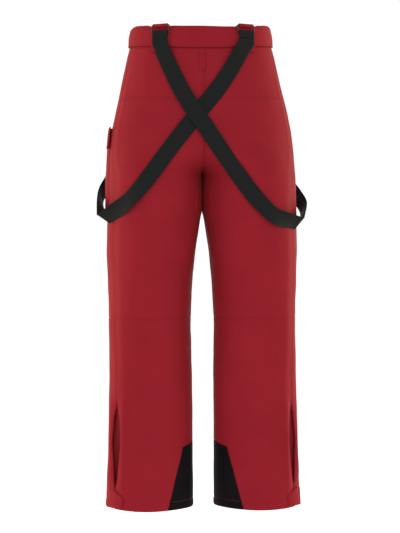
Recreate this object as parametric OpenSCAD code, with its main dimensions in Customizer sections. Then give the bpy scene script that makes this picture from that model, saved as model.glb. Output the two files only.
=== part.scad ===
// Ski pants with crossed elastic suspenders, shown as worn and empty.
// +X is the wearer's right, +Y the wearer's front and +Z up. The origin is the
// centre of the waist opening, level with the top edge of the waistband.

/* [Trousers] */
// Height from the waistband's top edge to the hem
outseam = 1022; // [960:1:1100]
// Level of the crotch point below the waistband's top edge
crotch_depth = 310; // [290:1:330]
// Thickness of the padded outer cloth
shell_t = 2.6; // [1.6:0.2:3.4]
// Thickness of the lining
lining_t = 1.0; // [0.6:0.2:1.4]
// Height of the waistband at the centre back
band_h = 47; // [40:1:52]
// Thickness of the waistband
band_t = 3.4; // [2.4:0.2:4.0]

/* [Closures] */
// Length of the fly zip's chain
fly_l = 150; // [120:1:155]
// Length of a hand pocket zip's chain
pocket_l = 132; // [100:1:134]
// Opening of a pull tab's zip slider plates, the width of the chain
chain_w = 6; // [4:0.5:7]

/* [Suspenders] */
// Width of the elastic webbing
strap_w = 35; // [30:1:38]
// Thickness of the elastic webbing
strap_t = 1.6; // [1.2:0.1:2.0]
// Place of the back rings round the waist, as a share of the full turn from the front
back_tab_t = 0.4035; // [0.39:0.0005:0.41]
// Wire radius of the rectangular rings
wire_r = 1.4; // [1.2:0.1:1.6]
// Height of a ring between its two bar centres
ring_h = 13; // [12:0.5:15]

/* [Hidden] */
$fn = 48;

// ---- Driving outline -------------------------------------------------------

hem_z = -outseam;
crotch_z = -crotch_depth;
// The pelvis starts to divide into two legs here.
split_z = -212;
yoke_z = -150;
knee_z = -616;
band_mid_z = -40;
lining_end_z = -780;
// Half width of the trousers at each level
half_width = [[0, 149], [-10, 152], [-33, 153], [-50, 158], [-215, 194], [-267, 200],
  [-320, 203], [-424, 205], [-476, 206], [-528, 204], [-580, 202], [-736, 202],
  [-840, 204], [-918, 206], [-1022, 211], [-1200, 220]];
// Distance of a leg's inner face from the centre plane, below the crotch
leg_gap = [[-310, 0.6], [-385, 0.8], [-398, 4], [-424, 7.6], [-476, 14], [-528, 19.5],
  [-580, 23], [-632, 25], [-736, 23], [-1200, 22]];
// Depth of the front and of the back from the side line
front_depth = [[0, 106], [-50, 110], [-215, 123], [-300, 121], [-400, 112], [-500, 102],
  [-616, 96], [-736, 87], [-900, 77], [-1200, 72]];
back_depth = [[0, 112], [-50, 119], [-215, 146], [-270, 148], [-320, 140], [-400, 122],
  [-500, 104], [-616, 88], [-736, 84], [-900, 82], [-1200, 80]];
// The side seam lies a little behind the widest line, as a share of the way round.
side_t = 0.58;
// Cloth edges that meet stay this far apart, as a share of the way round.
seam_gap_t = 0.0006;
seam_gap = 0.5;

function smooth(x) = x <= 0 ? 0 : x >= 1 ? 1 : x * x * (3 - 2 * x);
function mix(a, b, s) = a + (b - a) * s;
function w_at(z) = lookup(z, half_width);
function leg_x(z) = z > crotch_z
  ? w_at(z) / 2 * smooth((split_z - z) / (split_z - crotch_z))
  : (w_at(z) + lookup(z, leg_gap)) / 2;
function leg_y(z) = (lookup(z, front_depth) - lookup(z, back_depth)) / 2;
function half_d(z) = (lookup(z, front_depth) + lookup(z, back_depth)) / 2;

// A point of the right half's cloth: t runs from the inner front edge (0) over the
// outer side (0.5) to the inner back edge (1); off is the distance outwards.
function on_leg(z, t, off) =
  let (c = leg_x(z), a = w_at(z) - c + off, b = half_d(z) + off,
       start = c >= a ? 0 : acos(c / a), turn = start + (360 - 2 * start) * t)
  [max(c - a * cos(turn), 0.15), leg_y(z) + b * sin(turn), z];
// A point of the waist ring: t is 0 at the centre front, 0.25 at the wearer's right.
function on_waist(z, t, off) =
  [(w_at(z) + off) * sin(360 * t), leg_y(z) + (half_d(z) + off) * cos(360 * t), z];
// Height of the waistband's lower seam: deepest at the centre back.
function band_seam(share_back) = -33 - (band_h - 33) * smooth(share_back);
// Rise of the waistband's top edge over the hips; turn is 0 at the centre back.
function hip_rise(turn) = 14.4 * (1 - cos(turn)) * smooth((turn - 45) / 12)
  * (1 - smooth((turn - 62) / 33));

function tri(a, b, c, d) = [[a, c, b], [a, d, c]];
// Closed skin over a grid of two layers of rows x cols cells.
function grid_faces(rows, cols) =
  let (n = cols + 1, m = (rows + 1) * n)
  [for (r = [0:rows - 1], c = [0:cols - 1])
     each tri(r * n + c, r * n + c + 1, (r + 1) * n + c + 1, (r + 1) * n + c),
   for (r = [0:rows - 1], c = [0:cols - 1])
     each tri(m + r * n + c, m + (r + 1) * n + c, m + (r + 1) * n + c + 1, m + r * n + c + 1),
   for (c = [0:cols - 1]) each tri(c, m + c, m + c + 1, c + 1),
   for (c = [0:cols - 1]) let (e = rows * n)
     each tri(e + c, e + c + 1, m + e + c + 1, m + e + c),
   for (r = [0:rows - 1]) each tri(r * n, (r + 1) * n, m + (r + 1) * n, m + r * n),
   for (r = [0:rows - 1]) let (e = cols)
     each tri(r * n + e, m + r * n + e, m + (r + 1) * n + e, (r + 1) * n + e)];

// A curved sheet of cloth. levels are its rows, t_from and t_to its two edges at each
// level, outer and inner its faces, at is the surface and dz shifts a point's height.
// Its columns keep to the top level's, and crowd together where an edge cuts them off.
crowd = 0.0012;
module cloth(levels, t_from, t_to, outer, inner, cols,
             at = function(z, t, off) on_leg(z, t, off),
             dz = function(z, t) 0) {
  rows = len(levels) - 1;
  low = t_from(levels[0]);
  high = t_to(levels[0]);
  points = [for (face = [outer, inner], z = levels, c = [0:cols])
    let (t = max(t_from(z) + crowd * c, min(t_to(z) - crowd * (cols - c), mix(low, high, c / cols))))
    at(z + dz(z, t), t, face(z, t))];
  polyhedron(points, grid_faces(rows, cols), convexity = 6);
}
function flat_at(value) = function(z, t) value;
function edge_at(value) = function(z) value;
function steps(from, to, n) = [for (i = [0:n]) mix(from, to, i / n)];

// Levels that crowd together just above the crotch, where the cloth turns under.
crotch_levels = [for (i = [1:7]) crotch_z + (split_z - crotch_z) * pow(1 - i / 7, 2)];
thigh_levels = concat([yoke_z - seam_gap, -180, split_z], crotch_levels,
  [-345, -385, -405, -440, -500, -560, knee_z]);
shin_levels = [knee_z - seam_gap, -670, -736, -797, -840, -878, -881, -892, -920, -946, -982, hem_z];

// ---- Waistband -------------------------------------------------------------

tab_root_t = -0.012;
module waist_piece(t_from, t_to, cols) {
  color("firebrick")
    cloth([0, -8, -20, band_mid_z], edge_at(t_from), edge_at(t_to), flat_at(band_t), flat_at(0),
      cols, function(z, t, off) on_waist(z, t, off),
      function(z, t) let (turn = abs(0.5 - abs(t)) * 360)
        (z / band_mid_z) * (band_seam(1 - turn / 90) - band_mid_z)
        + (1 - z / band_mid_z) * hip_rise(turn));
}
module waistband_back() waist_piece(0.26, 0.74, 28);
module waistband_front_right() waist_piece(0.001, 0.2595, 14);
module waistband_front_left() waist_piece(-0.2595, -0.001, 14);

// The overlapping end of the waistband, held by two snaps
// The tab lies this far over the waistband, and its sewn root this far.
tab_gap = 3;
root_gap = 1.6;
tab_t = 2.2;
tab_x = 52;
snap_x = [22, 40];
snap_z = -18;
snap_r = 3;
function band_front_y(x) = let (s = x / (w_at(snap_z) + band_t))
  leg_y(snap_z) + (half_d(snap_z) + band_t) * sqrt(1 - s * s);
function band_slope(x) = atan2(band_front_y(x - 5) - band_front_y(x + 5), 10);
tab_y = band_front_y(0) + tab_gap;
module at_snap(x) translate([x, band_front_y(x), snap_z]) rotate([-90, 0, -band_slope(x)])
  children();
module waist_tab() color("firebrick") {
  path = [for (x = [-9, -2, 8, 20, 32, 44, tab_x]) [x, band_front_y(x) + (x < -5 ? root_gap : tab_gap)]];
  outline = concat(path, [for (i = [len(path) - 1:-1:0]) path[i] + [0.02 * i, tab_t]]);
  difference() {
    translate([0, 0, -33]) linear_extrude(30) polygon(outline);
    for (x = snap_x) at_snap(x) translate([0, 0, tab_gap + tab_t - 0.6]) cylinder(r = 7, h = 3);
  }
}
module snap_caps() color("#2a2a2c") for (x = snap_x) at_snap(x) {
  translate([0, 0, tab_gap + tab_t - 0.5]) cylinder(r1 = 6.9, r2 = 5.6, h = 1.6);
  difference() {
    translate([0, 0, 1.2]) cylinder(r = 5.6, h = tab_gap - 1.4);
    cylinder(r = snap_r + 0.6, h = tab_gap + 1);
  }
}
module snap_studs() color("#8d8f92") for (x = snap_x) at_snap(x) {
  translate([0, 0, 0.6]) cylinder(r = 5.4, h = 0.3);
  translate([0, 0, 0.6]) cylinder(r = snap_r, h = 1.5);
}

// ---- Zips ------------------------------------------------------------------

// A frame on the cloth: X across, Y outwards and Z up a zip's chain, from its top.
module zip_frame(top, bottom, out) {
  up = (top - bottom) / norm(top - bottom);
  across = cross(out, up) / norm(cross(out, up));
  face = cross(up, across);
  multmatrix([[across.x, face.x, up.x, top.x], [across.y, face.y, up.y, top.y],
              [across.z, face.z, up.z, top.z], [0, 0, 0, 1]]) children();
}
tape_t = 0.8;
chain_t = 2.4;
tape_lift = 2.2;
slider_l = 11;
slider_clear = 0.3;
pull_l = 26;
pin_r = 0.8;

fly_top_z = -54;
fly_top = [0, lookup(fly_top_z, front_depth), fly_top_z];
fly_bottom = [0, lookup(fly_top_z - fly_l, front_depth), fly_top_z - fly_l];
module fly_frame() zip_frame(fly_top, fly_bottom, [0, 1, 0]) children();

// The hand pocket's zip follows one line of the side front, straight down the hip.
pocket_t = 0.36;
pocket_top_z = -72;
pocket_top = on_leg(pocket_top_z, pocket_t, 0);
pocket_bottom = on_leg(pocket_top_z - pocket_l, pocket_t, 0);
pocket_out = cross(on_leg(-100, pocket_t - 0.02, 0) - on_leg(-100, pocket_t + 0.02, 0), [0, 0, 1]);
module pocket_frame() zip_frame(pocket_top, pocket_bottom, pocket_out) children();

mid = tape_lift + tape_t / 2;
// Half the slot between the two rows of teeth, where the slider's neck runs
neck_slot = 0.55;
// The tape stands on two welts, so that the slider's lower plate runs between them.
module zip_tape(l, tape_w) {
  for (side = [0, 1]) mirror([side, 0, 0]) {
    translate([chain_w / 2 - 0.2, tape_lift, -l]) cube([tape_w / 2 - chain_w / 2 + 0.2, tape_t, l]);
    translate([neck_slot, mid - chain_t / 2, -l]) cube([chain_w / 2 - neck_slot, chain_t, l]);
    translate([tape_w / 2 - 4, 0.4, -l]) cube([4, tape_lift - 0.2, l]);
  }
  translate([-chain_w / 2, mid - 0.9, -l]) cube([chain_w, 1.8, 2.5]);
}
// Two plates and a neck astride the chain, with a bail for the pull
module zip_slider() {
  gap = chain_t / 2 + slider_clear;
  translate([0, 0, -slider_l]) {
    for (y = [mid + gap, mid - gap - 0.9]) translate([-4.4, y, 0]) cube([8.8, 0.9, slider_l]);
    for (x = [-chain_w / 2 - slider_clear - 1.1, chain_w / 2 + slider_clear])
      for (y = [mid + tape_t / 2 + slider_clear, mid - gap - 0.1])
        translate([x, y, 1]) cube([1.1, gap - tape_t / 2 - slider_clear + 0.1, slider_l - 2]);
  }
  translate([-0.35, mid - gap - 0.1, -3]) cube([0.7, 2 * gap + 0.2, 2]);
  top = mid + gap + 0.8;
  for (x = [-3.3, 2.1]) translate([x, top, pull_z - 2]) cube([1.2, pin_rise + 1.1, 4]);
  translate([-3.3, top + pin_rise, pull_z]) rotate([0, 90, 0]) cylinder(r = pin_r, h = 6.6);
}
// The pull's pin stands this far over the slider's upper plate.
pin_rise = 2.4;
pull_y = mid + chain_t / 2 + slider_clear + 0.8 + pin_rise;
pull_z = -5.5;
module zip_pull() difference() {
  union() {
    translate([-1.9, pull_y, pull_z]) rotate([0, 90, 0]) cylinder(r = 1.9, h = 3.8);
    translate([-1.9, pull_y + 0.4, pull_z - 9]) cube([3.8, 1.5, 9]);
    translate([-3.6, pull_y - 0.1, pull_z - pull_l]) cube([7.2, 2.4, pull_l - 8]);
  }
  translate([-3, pull_y, pull_z]) rotate([0, 90, 0]) cylinder(r = pin_r + 0.08, h = 6);
}
fly_slot_t = 0.016;
module fly_zip_tape() color("#1c1c1e") fly_frame() zip_tape(fly_l, 24);
module fly_slider() color("#3a3a3c") fly_frame() zip_slider();
module fly_pull() color("#202022") fly_frame() zip_pull();
// Cloth frame around the fly's chain
module fly_placket() color("#8e1f2a") fly_frame() difference() {
  translate([-17, 0.3, -fly_l - 12]) cube([34, 4.2, fly_l + 15]);
  translate([-12.4, -0.1, -fly_l - 0.4]) cube([24.8, 6, fly_l + 5]);
}
module fly_guard() color("#5e151d")
  cloth(steps(-52, -214, 4), edge_at(-0.035), edge_at(0.035), flat_at(-4.2), flat_at(-5.2), 4,
    function(z, t, off) on_waist(z, t, off));
module pocket_zip_tape() color("#8e1f2a") pocket_frame() zip_tape(pocket_l, 22);
module pocket_slider() color("#3a3a3c") pocket_frame() zip_slider();
module pocket_pull() color("#202022") pocket_frame() zip_pull();

// ---- Legs ------------------------------------------------------------------

// Half width of the opening in the side seam above the hem tab, as a share of the way round
slit = [[-1300, 0], [-984, 0], [-960, 0.012], [-880, 0.028], [-830, 0.018], [-797, 0], [0, 0]];
slit_t = 0.595;
function seam_t(z) = mix(side_t, slit_t, smooth((knee_z - z) / 160));
function front_edge(z) = seam_t(z) - lookup(z, slit) - seam_gap_t;
function back_edge(z) = seam_t(z) + lookup(z, slit) + seam_gap_t;
// Half width of the black guard round the inner ankle
guard_half = [[-1300, 0.187], [-1022, 0.187], [-946, 0.148], [-892, 0.117], [-881, 0.008],
  [-880, 0], [0, 0]];
function inner_edge(z) = lookup(z, guard_half) + seam_gap_t;

module back_yoke() color("firebrick")
  cloth([band_mid_z - seam_gap, -60, -90, -120, yoke_z], edge_at(side_t + seam_gap_t), edge_at(1),
    flat_at(0), flat_at(-shell_t), 10,
    dz = function(z, t) (z > -45 ? 1 : 0) * (band_seam((t - 0.5) * 2) - band_mid_z));
module back_thigh() color("firebrick")
  cloth(thigh_levels, function(z) seam_t(z) + seam_gap_t, edge_at(1 - seam_gap_t),
    flat_at(0), flat_at(-shell_t), 14);
module back_shin() color("firebrick")
  cloth(shin_levels, function(z) back_edge(z), function(z) 1 - inner_edge(z),
    flat_at(0), flat_at(-shell_t), 12);
module front_thigh() color("firebrick") difference() {
  cloth(concat([band_mid_z - seam_gap, fly_top_z, -100], thigh_levels),
    function(z) z > -206 ? fly_slot_t : seam_gap_t, function(z) seam_t(z) - seam_gap_t,
    flat_at(0), flat_at(-shell_t), 18,
    dz = function(z, t) (z > -45 ? 1 : 0) * (band_seam(0) - band_mid_z));
  pocket_frame() translate([-5, -9, -pocket_l + 3]) cube([10, 18, pocket_l - 6]);
}
module front_shin() color("firebrick")
  cloth(shin_levels, function(z) inner_edge(z), function(z) front_edge(z),
    flat_at(0), flat_at(-shell_t), 16);
module scuff_guard() color("#1b191b")
  cloth([for (z = shin_levels) if (z <= -881) z], function(z) 1 - inner_edge(z) + 2 * seam_gap_t,
    function(z) 1 + inner_edge(z) - 2 * seam_gap_t, flat_at(0), flat_at(-shell_t), 12);
// Folded cloth behind the slit, which lets the leg open over a boot
gusset_half = 0.045;
function gusset_off(z, t) = -shell_t - 0.9
  - 8 * smooth(1 - abs(t - slit_t) / gusset_half) * smooth((-785 - z) / 140);
module side_gusset() color("#6e161e")
  cloth([-792, -830, -880, -930, -985, hem_z + 3], edge_at(slit_t - gusset_half),
    edge_at(slit_t + gusset_half),
    function(z, t) gusset_off(z, t), function(z, t) gusset_off(z, t) - 1.2, 10);

// Hook-and-loop tab that closes the hem over the gusset
hem_tab_from = 0.555;
hem_tab_to = 0.642;
hem_tab_lift = 1.7;
hem_tab_t = 1.8;
module hem_tab() color("firebrick")
  cloth([-984, -990, -997, -1010, hem_z + 1], edge_at(hem_tab_from),
    function(z) hem_tab_to - 0.04 * smooth((z + 998) / 14),
    flat_at(hem_tab_lift + hem_tab_t), flat_at(hem_tab_lift), 10);
module hem_hook_pads() color("#2b1014") for (side = [0, 1]) mirror([side, 0, 0])
  cloth([-1000, -1008, -1016], edge_at(0.602), edge_at(0.634), flat_at(hem_tab_lift - 0.3),
    flat_at(0.15), 5);
// Stitched tab over the centre back seam, under the waistband
module centre_back_tab() color("firebrick")
  cloth([-49, -65, -80, -92, -96], edge_at(0.498), edge_at(0.51), flat_at(1.5), flat_at(0.25), 4,
    function(z, t, off) on_waist(z, t, off));

// ---- Inner pieces ----------------------------------------------------------

lining_off = -5.6;
module lining() color("#33343a")
  cloth(concat([band_mid_z - 8, -100], thigh_levels, [-670, -736, lining_end_z]),
    function(z) z > -210 ? 0.02 : seam_gap_t * 2, edge_at(1 - seam_gap_t * 2),
    flat_at(lining_off), flat_at(lining_off - lining_t), 16);
gaiter_top_z = lining_end_z - 0.4;
gaiter_end_z = -985;
function gaiter_off(z) = lining_off - 22 * smooth((gaiter_top_z - z) / 190);
module snow_gaiter() color("#232529")
  cloth(steps(gaiter_top_z, gaiter_end_z, 7), edge_at(0.0015), edge_at(0.9985),
    function(z, t) gaiter_off(z), function(z, t) gaiter_off(z) - 1.2, 24);
// Elastic bands with a rubber grip that close the gaiters round the boots
module gaiter_grippers() color("#101012") for (side = [0, 1]) mirror([side, 0, 0])
  cloth([gaiter_end_z - 0.4, gaiter_end_z - 12, gaiter_end_z - 25], edge_at(0.0015),
    edge_at(0.9985), flat_at(gaiter_off(-1000) + 0.6), flat_at(gaiter_off(-1000) - 1.8), 24);
module pocket_bags() color("#2c2d33") for (side = [0, 1]) mirror([side, 0, 0])
  cloth([-66, -120, -180, -230], edge_at(0.2), edge_at(0.38), flat_at(-shell_t - 0.5),
    flat_at(-shell_t - 2.2), 8);

// ---- Thigh pocket, on the wearer's left only -------------------------------

thigh_from = 0.388;
thigh_to = 0.54;
thigh_top_z = -232;
flap_t = 1.6;
module thigh_pocket() color("firebrick") mirror([1, 0, 0])
  cloth([-215, thigh_top_z, -260, -280, -296, -312, -335, -365, -400], edge_at(thigh_from), edge_at(thigh_to),
    function(z, t) 1.7 + 3.4 * smooth(4 * min(t - thigh_from, thigh_to - t) / 0.16)
      * smooth((z + 410) / 40) * smooth((-205 - z) / 40), flat_at(1), 10);
flap_off = 6;
module thigh_pocket_flap() color("firebrick") mirror([1, 0, 0])
  cloth([-206, -220, -236, -252], edge_at(thigh_from - 0.006), edge_at(thigh_to + 0.006),
    flat_at(flap_off + flap_t), flat_at(flap_off), 10);
flap_mid_t = (thigh_from + thigh_to) / 2;

// ---- Suspenders ------------------------------------------------------------

bar_gap = 0.1;
loop_r = 3.6;
ring_top_z = 1.5;
patch_t = 1.4;
patch_gap = 0.5;
front_tab_t = 0.5 - back_tab_t;
// The rings hang from cloth loops this far out from the waistband.
hang_off = band_t + patch_gap + patch_t + 4;
// The straps lean out with the cloth below the waistband by these angles.
front_lean = 7;
back_lean = 8;
inner_w = strap_w + 1;

function ring_pivot(t) = on_waist(0, t, hang_off) + [0, 0, ring_top_z];
// Turn about Z that lays a ring's bars along the waist
function ring_yaw(t) = let (d = on_waist(0, t + 0.01, 0) - on_waist(0, t - 0.01, 0)) atan2(d.y, d.x);

// A ring hanging from its upper bar, which is the origin's X axis
module ring_shape() color("#161617") {
  for (z = [0, -ring_h]) translate([-inner_w / 2 - wire_r, 0, z]) rotate([0, 90, 0])
    cylinder(r = wire_r, h = inner_w + 2 * wire_r);
  for (x = [-1, 1]) translate([x * (inner_w / 2 + wire_r), 0, 0]) {
    translate([0, 0, -ring_h]) cylinder(r = wire_r, h = ring_h);
    sphere(r = wire_r);
    translate([0, 0, -ring_h]) sphere(r = wire_r);
  }
}
// Webbing folded round a ring's lower bar and sewn to itself; l is its length below
module folded_end(l, t) difference() {
  union() {
    translate([-strap_w / 2, 0, -ring_h]) rotate([0, 90, 0])
      cylinder(r = wire_r + bar_gap + strap_t, h = strap_w);
    translate([-strap_w / 2, -t / 2, -ring_h - l]) cube([strap_w, t, l]);
  }
  translate([-strap_w / 2 - 1, 0, -ring_h]) rotate([0, 90, 0])
    cylinder(r = wire_r + bar_gap, h = strap_w + 2);
}
// Frame of one attachment: X along the waist, Y outwards at the front and at the back
module hang(t, lean = 0) translate(ring_pivot(t)) rotate([0, 0, ring_yaw(t)]) rotate([lean, 0, 0])
  children();
module back_ring(t) hang(t, back_lean) ring_shape();
end_l = 14;
module strap_end(t) color("#1d1d1e") hang(t, back_lean) folded_end(end_l, 2 * strap_t);

// Cloth loop round a ring's upper bar, sewn in at the waistband's top edge
module strap_loop(t) hang(t) difference() {
  w = strap_w - 1;
  union() {
    translate([-w / 2, 0, 0]) rotate([0, 90, 0]) cylinder(r = loop_r, h = w);
    translate([-w / 2, -9, -1.1]) cube([w, 9, 2.2]);
  }
  translate([-w, 0, 0]) rotate([0, 90, 0]) cylinder(r = wire_r + bar_gap, h = 2 * w);
}
module strap_loops() color("firebrick")
  for (t = [-front_tab_t, front_tab_t, -back_tab_t, back_tab_t]) strap_loop(t);
// Stitched reinforcement below each loop
module strap_patches(t, bottom_z) color("firebrick") for (side = [0, 1]) mirror([side, 0, 0])
  cloth([0.2, -10, -30, bottom_z], edge_at(t - 0.0235), edge_at(t + 0.0235),
    flat_at(band_t + patch_gap + patch_t), flat_at(band_t + patch_gap), 4,
    function(z, t, off) on_waist(z, t, off));

// The straight front stretch: ring, doubled webbing and adjuster lean as one.
front_l = 128;
adjuster_z = -112;
module lean(side) hang(side * front_tab_t, front_lean) children();
layer_y = wire_r + bar_gap;
module front_ring(side) lean(side) ring_shape();
module front_strap(side) color("#1d1d1e") lean(side) {
  difference() {
    union() {
      translate([-strap_w / 2, 0, -ring_h]) rotate([0, 90, 0]) cylinder(r = layer_y + strap_t, h = strap_w);
      translate([-strap_w / 2, layer_y, -ring_h - front_l]) cube([strap_w, strap_t, front_l]);
    }
    translate([-strap_w, 0, -ring_h]) rotate([0, 90, 0]) cylinder(r = layer_y, h = 2 * strap_w);
  }
}
return_y = -layer_y - strap_t;
module strap_return(side) color("#1d1d1e") lean(side)
  translate([-strap_w / 2, return_y, adjuster_z + 3])
    cube([strap_w, strap_t, -ring_h - 3.4 - adjuster_z - 3]);
// Three-bar slide: the outer bars pass in front of the webbing, the middle one behind.
rail = 3;
adjuster_h = 28;
module adjuster(side) color("#161617") lean(side) translate([0, 0, adjuster_z]) {
  w = strap_w + 1.6;
  front_face = layer_y + strap_t + 0.3;
  for (z = [-adjuster_h / 2, adjuster_h / 2 - rail])
    translate([-w / 2 - rail, front_face, z]) cube([w + 2 * rail, 2, rail]);
  translate([-w / 2 - rail, layer_y - 0.3 - 1.6, -rail / 2]) cube([w + 2 * rail, 1.6, rail]);
  for (x = [-w / 2 - rail, w / 2]) translate([x, layer_y - 1.9, -adjuster_h / 2])
    cube([rail, front_face + 2 - layer_y + 1.9, adjuster_h]);
}

// A point over the cloth at a given gap, at the back (way -1) or the front (way 1)
function over(way, x, z, gap) =
  let (c = leg_x(z), s = (abs(x) - c) / (w_at(z) - c + gap))
  [x, leg_y(z) + way * (half_d(z) + gap) * sqrt(max(0, 1 - s * s)), z];
function over_normal(way, x, z) =
  let (c = leg_x(z), a = w_at(z) - c, s = (abs(x) - c) / a)
  unit([(x < 0 ? -1 : 1) * s / a, way * sqrt(max(0, 1 - s * s)) / half_d(z), 0]);
// A row of a strap's route: a centre point and the way its outer face looks
function on_back(x, z, gap) = [over(-1, x, z, gap), over_normal(-1, x, z)];
function on_front(x, z, gap) = [over(1, x, z, gap), over_normal(1, x, z)];
// A row beside a hip: turn runs from 0 at the leg's back over 90 at its outer side
function on_hip(side, turn, z, gap, tilt) =
  let (c = leg_x(z), a = w_at(z) - c + gap, b = half_d(z) + gap)
  [[side * (c + a * sin(turn)), leg_y(z) - b * cos(turn), z],
   unit([side * b * sin(turn), -a * cos(turn), -a * tilt])];
function turn_z(v, a) = [v.x * cos(a) - v.y * sin(a), v.x * sin(a) + v.y * cos(a), v.z];
// A point of an attachment's frame leaning by an angle
function hang_point(t, y, z, a) = ring_pivot(t)
  + turn_z([0, y * cos(a) - z * sin(a), y * sin(a) + z * cos(a)], ring_yaw(t));
function hang_row(t, y, z, a) = [hang_point(t, y, z, a), turn_z([0, cos(a), sin(a)], ring_yaw(t))];
function strap_start(t) = [for (d = [0.3, 3.5, 8]) hang_row(t, 0, -ring_h - end_l - d, back_lean)];
function strap_finish(t) = [for (d = [26, 9, 0.3])
  hang_row(t, layer_y + strap_t / 2, -ring_h - front_l - d, front_lean)];
// Each strap runs from its sewn end over the other side's hip and up to the front.
route_left = concat(strap_start(-back_tab_t), [
    on_back(-89, -43, 8), on_back(-84, -58, 7), on_back(-75, -80, 5), on_back(-60, -114, 4.6),
    on_back(-42, -150, 6.6), on_back(-21, -184, 7.8), on_back(2, -218, 7),
    on_back(26, -255, 5.6), on_back(52, -292, 4.4), on_back(77, -327, 4.4),
    on_back(101, -358, 5), on_back(126, -384, 6.5),
    on_hip(1, 26, -404, 8, 0.1), on_hip(1, 42, -416, 10, 0.15), on_hip(1, 60, -416, 13, 0.25),
    on_hip(1, 78, -403, 17, 0.4), on_hip(1, 94, -382, 19, 0.45), on_hip(1, 110, -356, 18, 0.3),
    on_hip(1, 125, -328, 16, 0.15),
    on_front(176, -291, 15), on_front(154, -252, 14), on_front(130, -216, 13)],
  strap_finish(front_tab_t));
route_right = concat(strap_start(back_tab_t), [
    on_back(86, -43, 8), on_back(77, -57, 7), on_back(64, -80, 4.4), on_back(40, -118, 3),
    on_back(16, -150, 2.6),
    on_back(-11, -182, 2.6), on_back(-39, -216, 2.6), on_back(-66, -250, 3), on_back(-92, -285, 3.6),
    on_back(-117, -318, 4.4), on_back(-142, -348, 6), on_hip(-1, 37, -374, 8, 0.1),
    on_hip(-1, 54, -393, 11, 0.2), on_hip(-1, 71, -398, 15, 0.35), on_hip(-1, 87, -382, 18, 0.4),
    on_hip(-1, 103, -356, 18, 0.3), on_hip(-1, 119, -326, 16, 0.15),
    on_front(-177, -286, 15), on_front(-154, -248, 14), on_front(-130, -214, 13)],
  strap_finish(-front_tab_t));

function unit(v) = v / norm(v);
// Catmull-Rom value between b and c
function spline(a, b, c, d, s) = 0.5 * (2 * b + (c - a) * s + (2 * a - 5 * b + 4 * c - d) * s * s
  + (3 * b - a - 3 * c + d) * s * s * s);
function route_at(route, k, i, s) = spline(route[max(i - 1, 0)][k], route[i][k], route[i + 1][k],
  route[min(i + 2, len(route) - 1)][k], s);
sub = 3;
function dense(route, k) = [for (i = [0:len(route) - 2], j = [0:sub - 1]) route_at(route, k, i, j / sub),
  route[len(route) - 1][k]];
module webbing(route) color("#1d1d1e") {
  centre = dense(route, 0);
  face = dense(route, 1);
  n = len(centre) - 1;
  rings = [for (i = [0:n])
    let (along = unit(centre[min(i + 1, n)] - centre[max(i - 1, 0)]),
         side = unit(cross(unit(face[i]), along)) * strap_w / 2,
         out = cross(along, unit(side)) * strap_t / 2)
    [centre[i] - side - out, centre[i] + side - out, centre[i] + side + out, centre[i] - side + out]];
  faces = concat([[0, 1, 2], [0, 2, 3]],
    [for (i = [0:n - 1], j = [0:3]) let (k = (j + 1) % 4)
       each [[4 * i + j, 4 * i + 4 + j, 4 * i + 4 + k], [4 * i + j, 4 * i + 4 + k, 4 * i + k]]],
    [[4 * n, 4 * n + 2, 4 * n + 1], [4 * n, 4 * n + 3, 4 * n + 2]]);
  polyhedron([for (ring = rings) each ring], faces, convexity = 8);
}

// ---- Nodes -----------------------------------------------------------------

module left() mirror([1, 0, 0]) children();
waistband_back();
waistband_front_right();
waistband_front_left();
waist_tab();
snap_caps();
snap_studs();
fly_placket();
fly_guard();
fly_zip_tape();
fly_slider();
fly_pull();
back_yoke();  // back_yoke_right
left() back_yoke();  // back_yoke_left
back_thigh();  // back_thigh_right
left() back_thigh();  // back_thigh_left
back_shin();  // back_shin_right
left() back_shin();  // back_shin_left
front_thigh();  // front_thigh_right
left() front_thigh();  // front_thigh_left
front_shin();  // front_shin_right
left() front_shin();  // front_shin_left
scuff_guard();  // scuff_guard_right
left() scuff_guard();  // scuff_guard_left
side_gusset();  // side_gusset_right
left() side_gusset();  // side_gusset_left
hem_tab();  // hem_tab_right
left() hem_tab();  // hem_tab_left
hem_hook_pads();
centre_back_tab();
lining();  // lining_right
left() lining();  // lining_left
snow_gaiter();  // snow_gaiter_right
left() snow_gaiter();  // snow_gaiter_left
gaiter_grippers();
pocket_zip_tape();  // pocket_zip_tape_right
left() pocket_zip_tape();  // pocket_zip_tape_left
pocket_slider();  // pocket_slider_right
left() pocket_slider();  // pocket_slider_left
pocket_pull();  // pocket_pull_right
left() pocket_pull();  // pocket_pull_left
pocket_bags();
thigh_pocket();
thigh_pocket_flap();
strap_patches(back_tab_t, -53);  // back_strap_patches
strap_patches(front_tab_t, -50);  // front_strap_patches
strap_loops();
back_ring(back_tab_t);  // back_ring_right
back_ring(-back_tab_t);  // back_ring_left
front_ring(1);  // front_ring_right
front_ring(-1);  // front_ring_left
strap_end(back_tab_t);  // strap_end_right
strap_end(-back_tab_t);  // strap_end_left
webbing(route_right);  // strap_right
webbing(route_left);  // strap_left
front_strap(1);  // front_strap_right
front_strap(-1);  // front_strap_left
strap_return(1);  // strap_return_right
strap_return(-1);  // strap_return_left
adjuster(1);  // adjuster_right
adjuster(-1);  // adjuster_left
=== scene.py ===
import math

import bmesh
import bpy
import numpy as np
from mathutils import Matrix, Vector


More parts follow.
